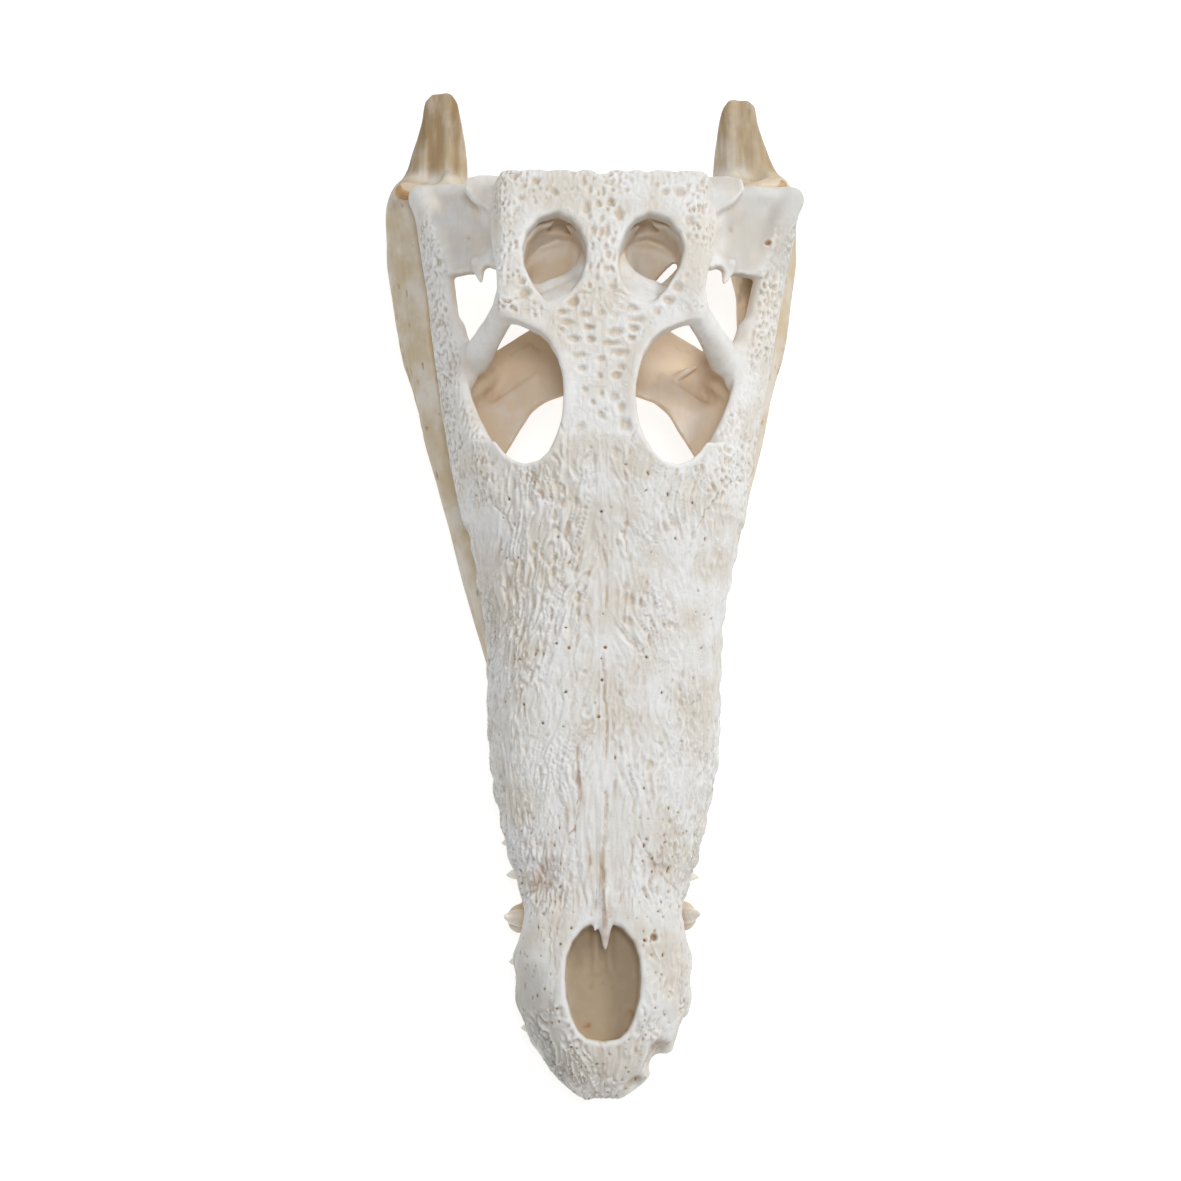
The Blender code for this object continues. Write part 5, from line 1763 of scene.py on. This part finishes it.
class SKULL_OT_teeth(Operator):
    """Set the upper and lower teeth in their sockets"""

    bl_idname = "skull.teeth"
    bl_label = "Set Teeth"

    def execute(self, context):
        enamel = tooth_material()
        upper = tooth_row("upper_teeth", upper_teeth_places(), enamel)
        finish_piece(upper, enamel, "cranium")
        for side, name in ((-1, "right"), (1, "left")):
            row = tooth_row("lower_teeth_" + name, lower_teeth_places(side), enamel)
            finish_piece(row, enamel, "mandible_" + name)
        return {"FINISHED"}


class SKULL_OT_joint_tissue(Operator):
    """Wrap the jaw joints in dried cartilage"""

    bl_idname = "skull.joint_tissue"
    bl_label = "Add Joint Tissue"

    def execute(self, context):
        material = tissue_material()
        for side, name in ((-1, "right"), (1, "left")):
            item = link("joint_tissue_" + name, joint_tissue_mesh(side))
            item.data.materials.append(material)
            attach(item, "root")
        return {"FINISHED"}


def joint_tissue_mesh(side):
    """A pale lip between the quadrate's head and the rear spur, over a darker wedge of cartilage; the lip is
    pale only on its upper side, partly its own colour and partly a painted highlight.
    """
    inner, outer = sorted((60 * side, 120 * side))
    solid = Solid((inner, 450, 44), (outer, 490, 80), 0.6)
    lip = at(side, (72, 465, 62.5), (82, 467.5, 64.5), (91, 469.5, 65), (98, 471.5, 62.5))
    solid.add(bar(lip, (1.6, 2.3, 2.5, 1.5)), 0)
    solid.add(bar(at(side, (76, 465, 61.5), (91, 467, 62.5), (101, 470, 61)), (3, 4, 4)), 4)
    points, faces = solid.skin()
    normals = vertex_normals(points, faces)
    swell = 0.5 * cloud(points, 7, 121) + 0.2 * cloud(points, 2.5, 122)
    # Pale only where the lip faces up: partly its own colour, partly a painted highlight
    pale = fade(bar(lip, (0.1,) * 4)[2](*points.T), 4.6, 3.2) * fade(normals[:, 2], 0.1, 0.5)
    return mesh_of("joint_tissue", turned(points + normals * swell[:, None]), faces, {"pale": pale})


class SKULL_OT_stage(Operator):
    """Lay the pale floor, set the lights and aim the camera as in the photograph"""

    bl_idname = "skull.stage"
    bl_label = "Set Stage"

    def execute(self, context):
        build_floor()
        build_lights()
        build_camera()
        return {"FINISHED"}


FLOOR_REACH = 25.0
# Soft lights: name, place, the point it shines on, width in metres, power in watts
LIGHTS = (
    ("key_light", (1.05, 0.6, 1.25), (0, 0, 0.05), 0.5, 10.6),
    ("top_light", (0.1, -0.05, 1.55), (0, 0.2, 0.05), 0.4, 7),
)


def build_floor():
    """Seamless pale card, large enough for every view."""
    mesh = bpy.data.meshes.new("floor")
    corners = [(x * FLOOR_REACH, y * FLOOR_REACH, 0) for x, y in ((-1, -1), (1, -1), (1, 1), (-1, 1))]
    mesh.from_pydata(corners, [], [(0, 1, 2, 3)])
    floor = link("floor", mesh)
    material, tree, shader = new_material("pale_card")
    set_up(tree, shader, {
        "Base Color": (*srgb("#A3A3A1"), 1), "Roughness": 0.9, "Specular IOR Level": 0.1,
        "Emission Color": (1, 1, 1, 1), "Emission Strength": 0.8,
    })
    mesh.materials.append(material)


def area_light(name, place, target, size, power):
    """A round soft light, turned to a point."""
    light = bpy.data.lights.new(name, "AREA")
    light.shape = "DISK"
    light.size = size
    light.energy = power
    item = link(name, light)
    item.location = place
    item.rotation_euler = (Vector(target) - Vector(place)).to_track_quat("-Z", "Y").to_euler()


def build_lights():
    """A soft window light from the skull's left, a weaker one from above and a pale surround."""
    for light in LIGHTS:
        area_light(*light)
    world = bpy.data.worlds.new("soft_surround")
    world.use_nodes = True
    surround = {"Color": (*srgb("#F6F8FB"), 1), "Strength": 0.42}
    set_up(world.node_tree, world.node_tree.nodes["Background"], surround)
    bpy.context.scene.world = world
    bpy.context.scene.view_settings.view_transform = "Standard"


# Camera: distance in mm from the point it looks at, lean towards the rear and turn, in degrees
CAMERA_REACH = 905
CAMERA_TARGET = (-7.2, 242, 95)
CAMERA_PITCH = 13
CAMERA_TURN = -0.32
IMAGE_WIDTH = 1181
FOCAL_PIXELS = 1850


def build_camera():
    """Camera high over the snout, looking down and towards the rear of the skull."""
    pitch, turn = math.radians(CAMERA_PITCH), math.radians(CAMERA_TURN)
    back = Vector((0, -math.sin(pitch), math.cos(pitch)))
    right = Vector((math.sin(turn), math.cos(turn), 0)).cross(back).normalized()
    up = back.cross(right)
    target = row_frame(np.array([CAMERA_TARGET], float))[0]
    place = Vector(target) + back * CAMERA_REACH * MM
    data = bpy.data.cameras.new("photo_camera")
    data.sensor_width = 36
    data.lens = FOCAL_PIXELS / IMAGE_WIDTH * data.sensor_width
    data.clip_start = 0.01
    camera = link("photo_camera", data)
    turned_axes = Matrix((right, up, back)).transposed().to_4x4()
    camera.matrix_world = Matrix.Translation(place) @ turned_axes
    bpy.context.scene.camera = camera


class SKULL_PT_parts(Panel):
    """Lists the pieces of the skull and their sizes and colours"""

    bl_idname = "SKULL_PT_parts"
    bl_label = "Crocodile Skull"
    bl_space_type = "VIEW_3D"
    bl_region_type = "UI"
    bl_category = "Skull"

    def draw(self, context):
        layout = self.layout
        for operator in OPERATORS:
            layout.operator(operator.bl_idname)
        for group in (context.scene.skull_sizes, context.scene.skull_colours):
            box = layout.box()
            for name in group.__annotations__:
                box.prop(group, name)


OPERATORS = (SKULL_OT_cranium, SKULL_OT_lower_jaw, SKULL_OT_teeth, SKULL_OT_joint_tissue, SKULL_OT_stage)
CLASSES = (SkullSizes, SkullColours, *OPERATORS, SKULL_PT_parts)


def register():
    """Register the classes and put the settings on the scene."""
    for item in CLASSES:
        bpy.utils.register_class(item)
    bpy.types.Scene.skull_sizes = PointerProperty(type=SkullSizes)
    bpy.types.Scene.skull_colours = PointerProperty(type=SkullColours)


def unregister():
    """Take the settings and the classes away again."""
    del bpy.types.Scene.skull_colours
    del bpy.types.Scene.skull_sizes
    for item in reversed(CLASSES):
        bpy.utils.unregister_class(item)


def main():
    """Build the skull and its stage."""
    register()
    bpy.ops.skull.cranium()
    bpy.ops.skull.lower_jaw()
    bpy.ops.skull.teeth()
    bpy.ops.skull.joint_tissue()
    bpy.ops.skull.stage()


if __name__ == "__main__":
    main()
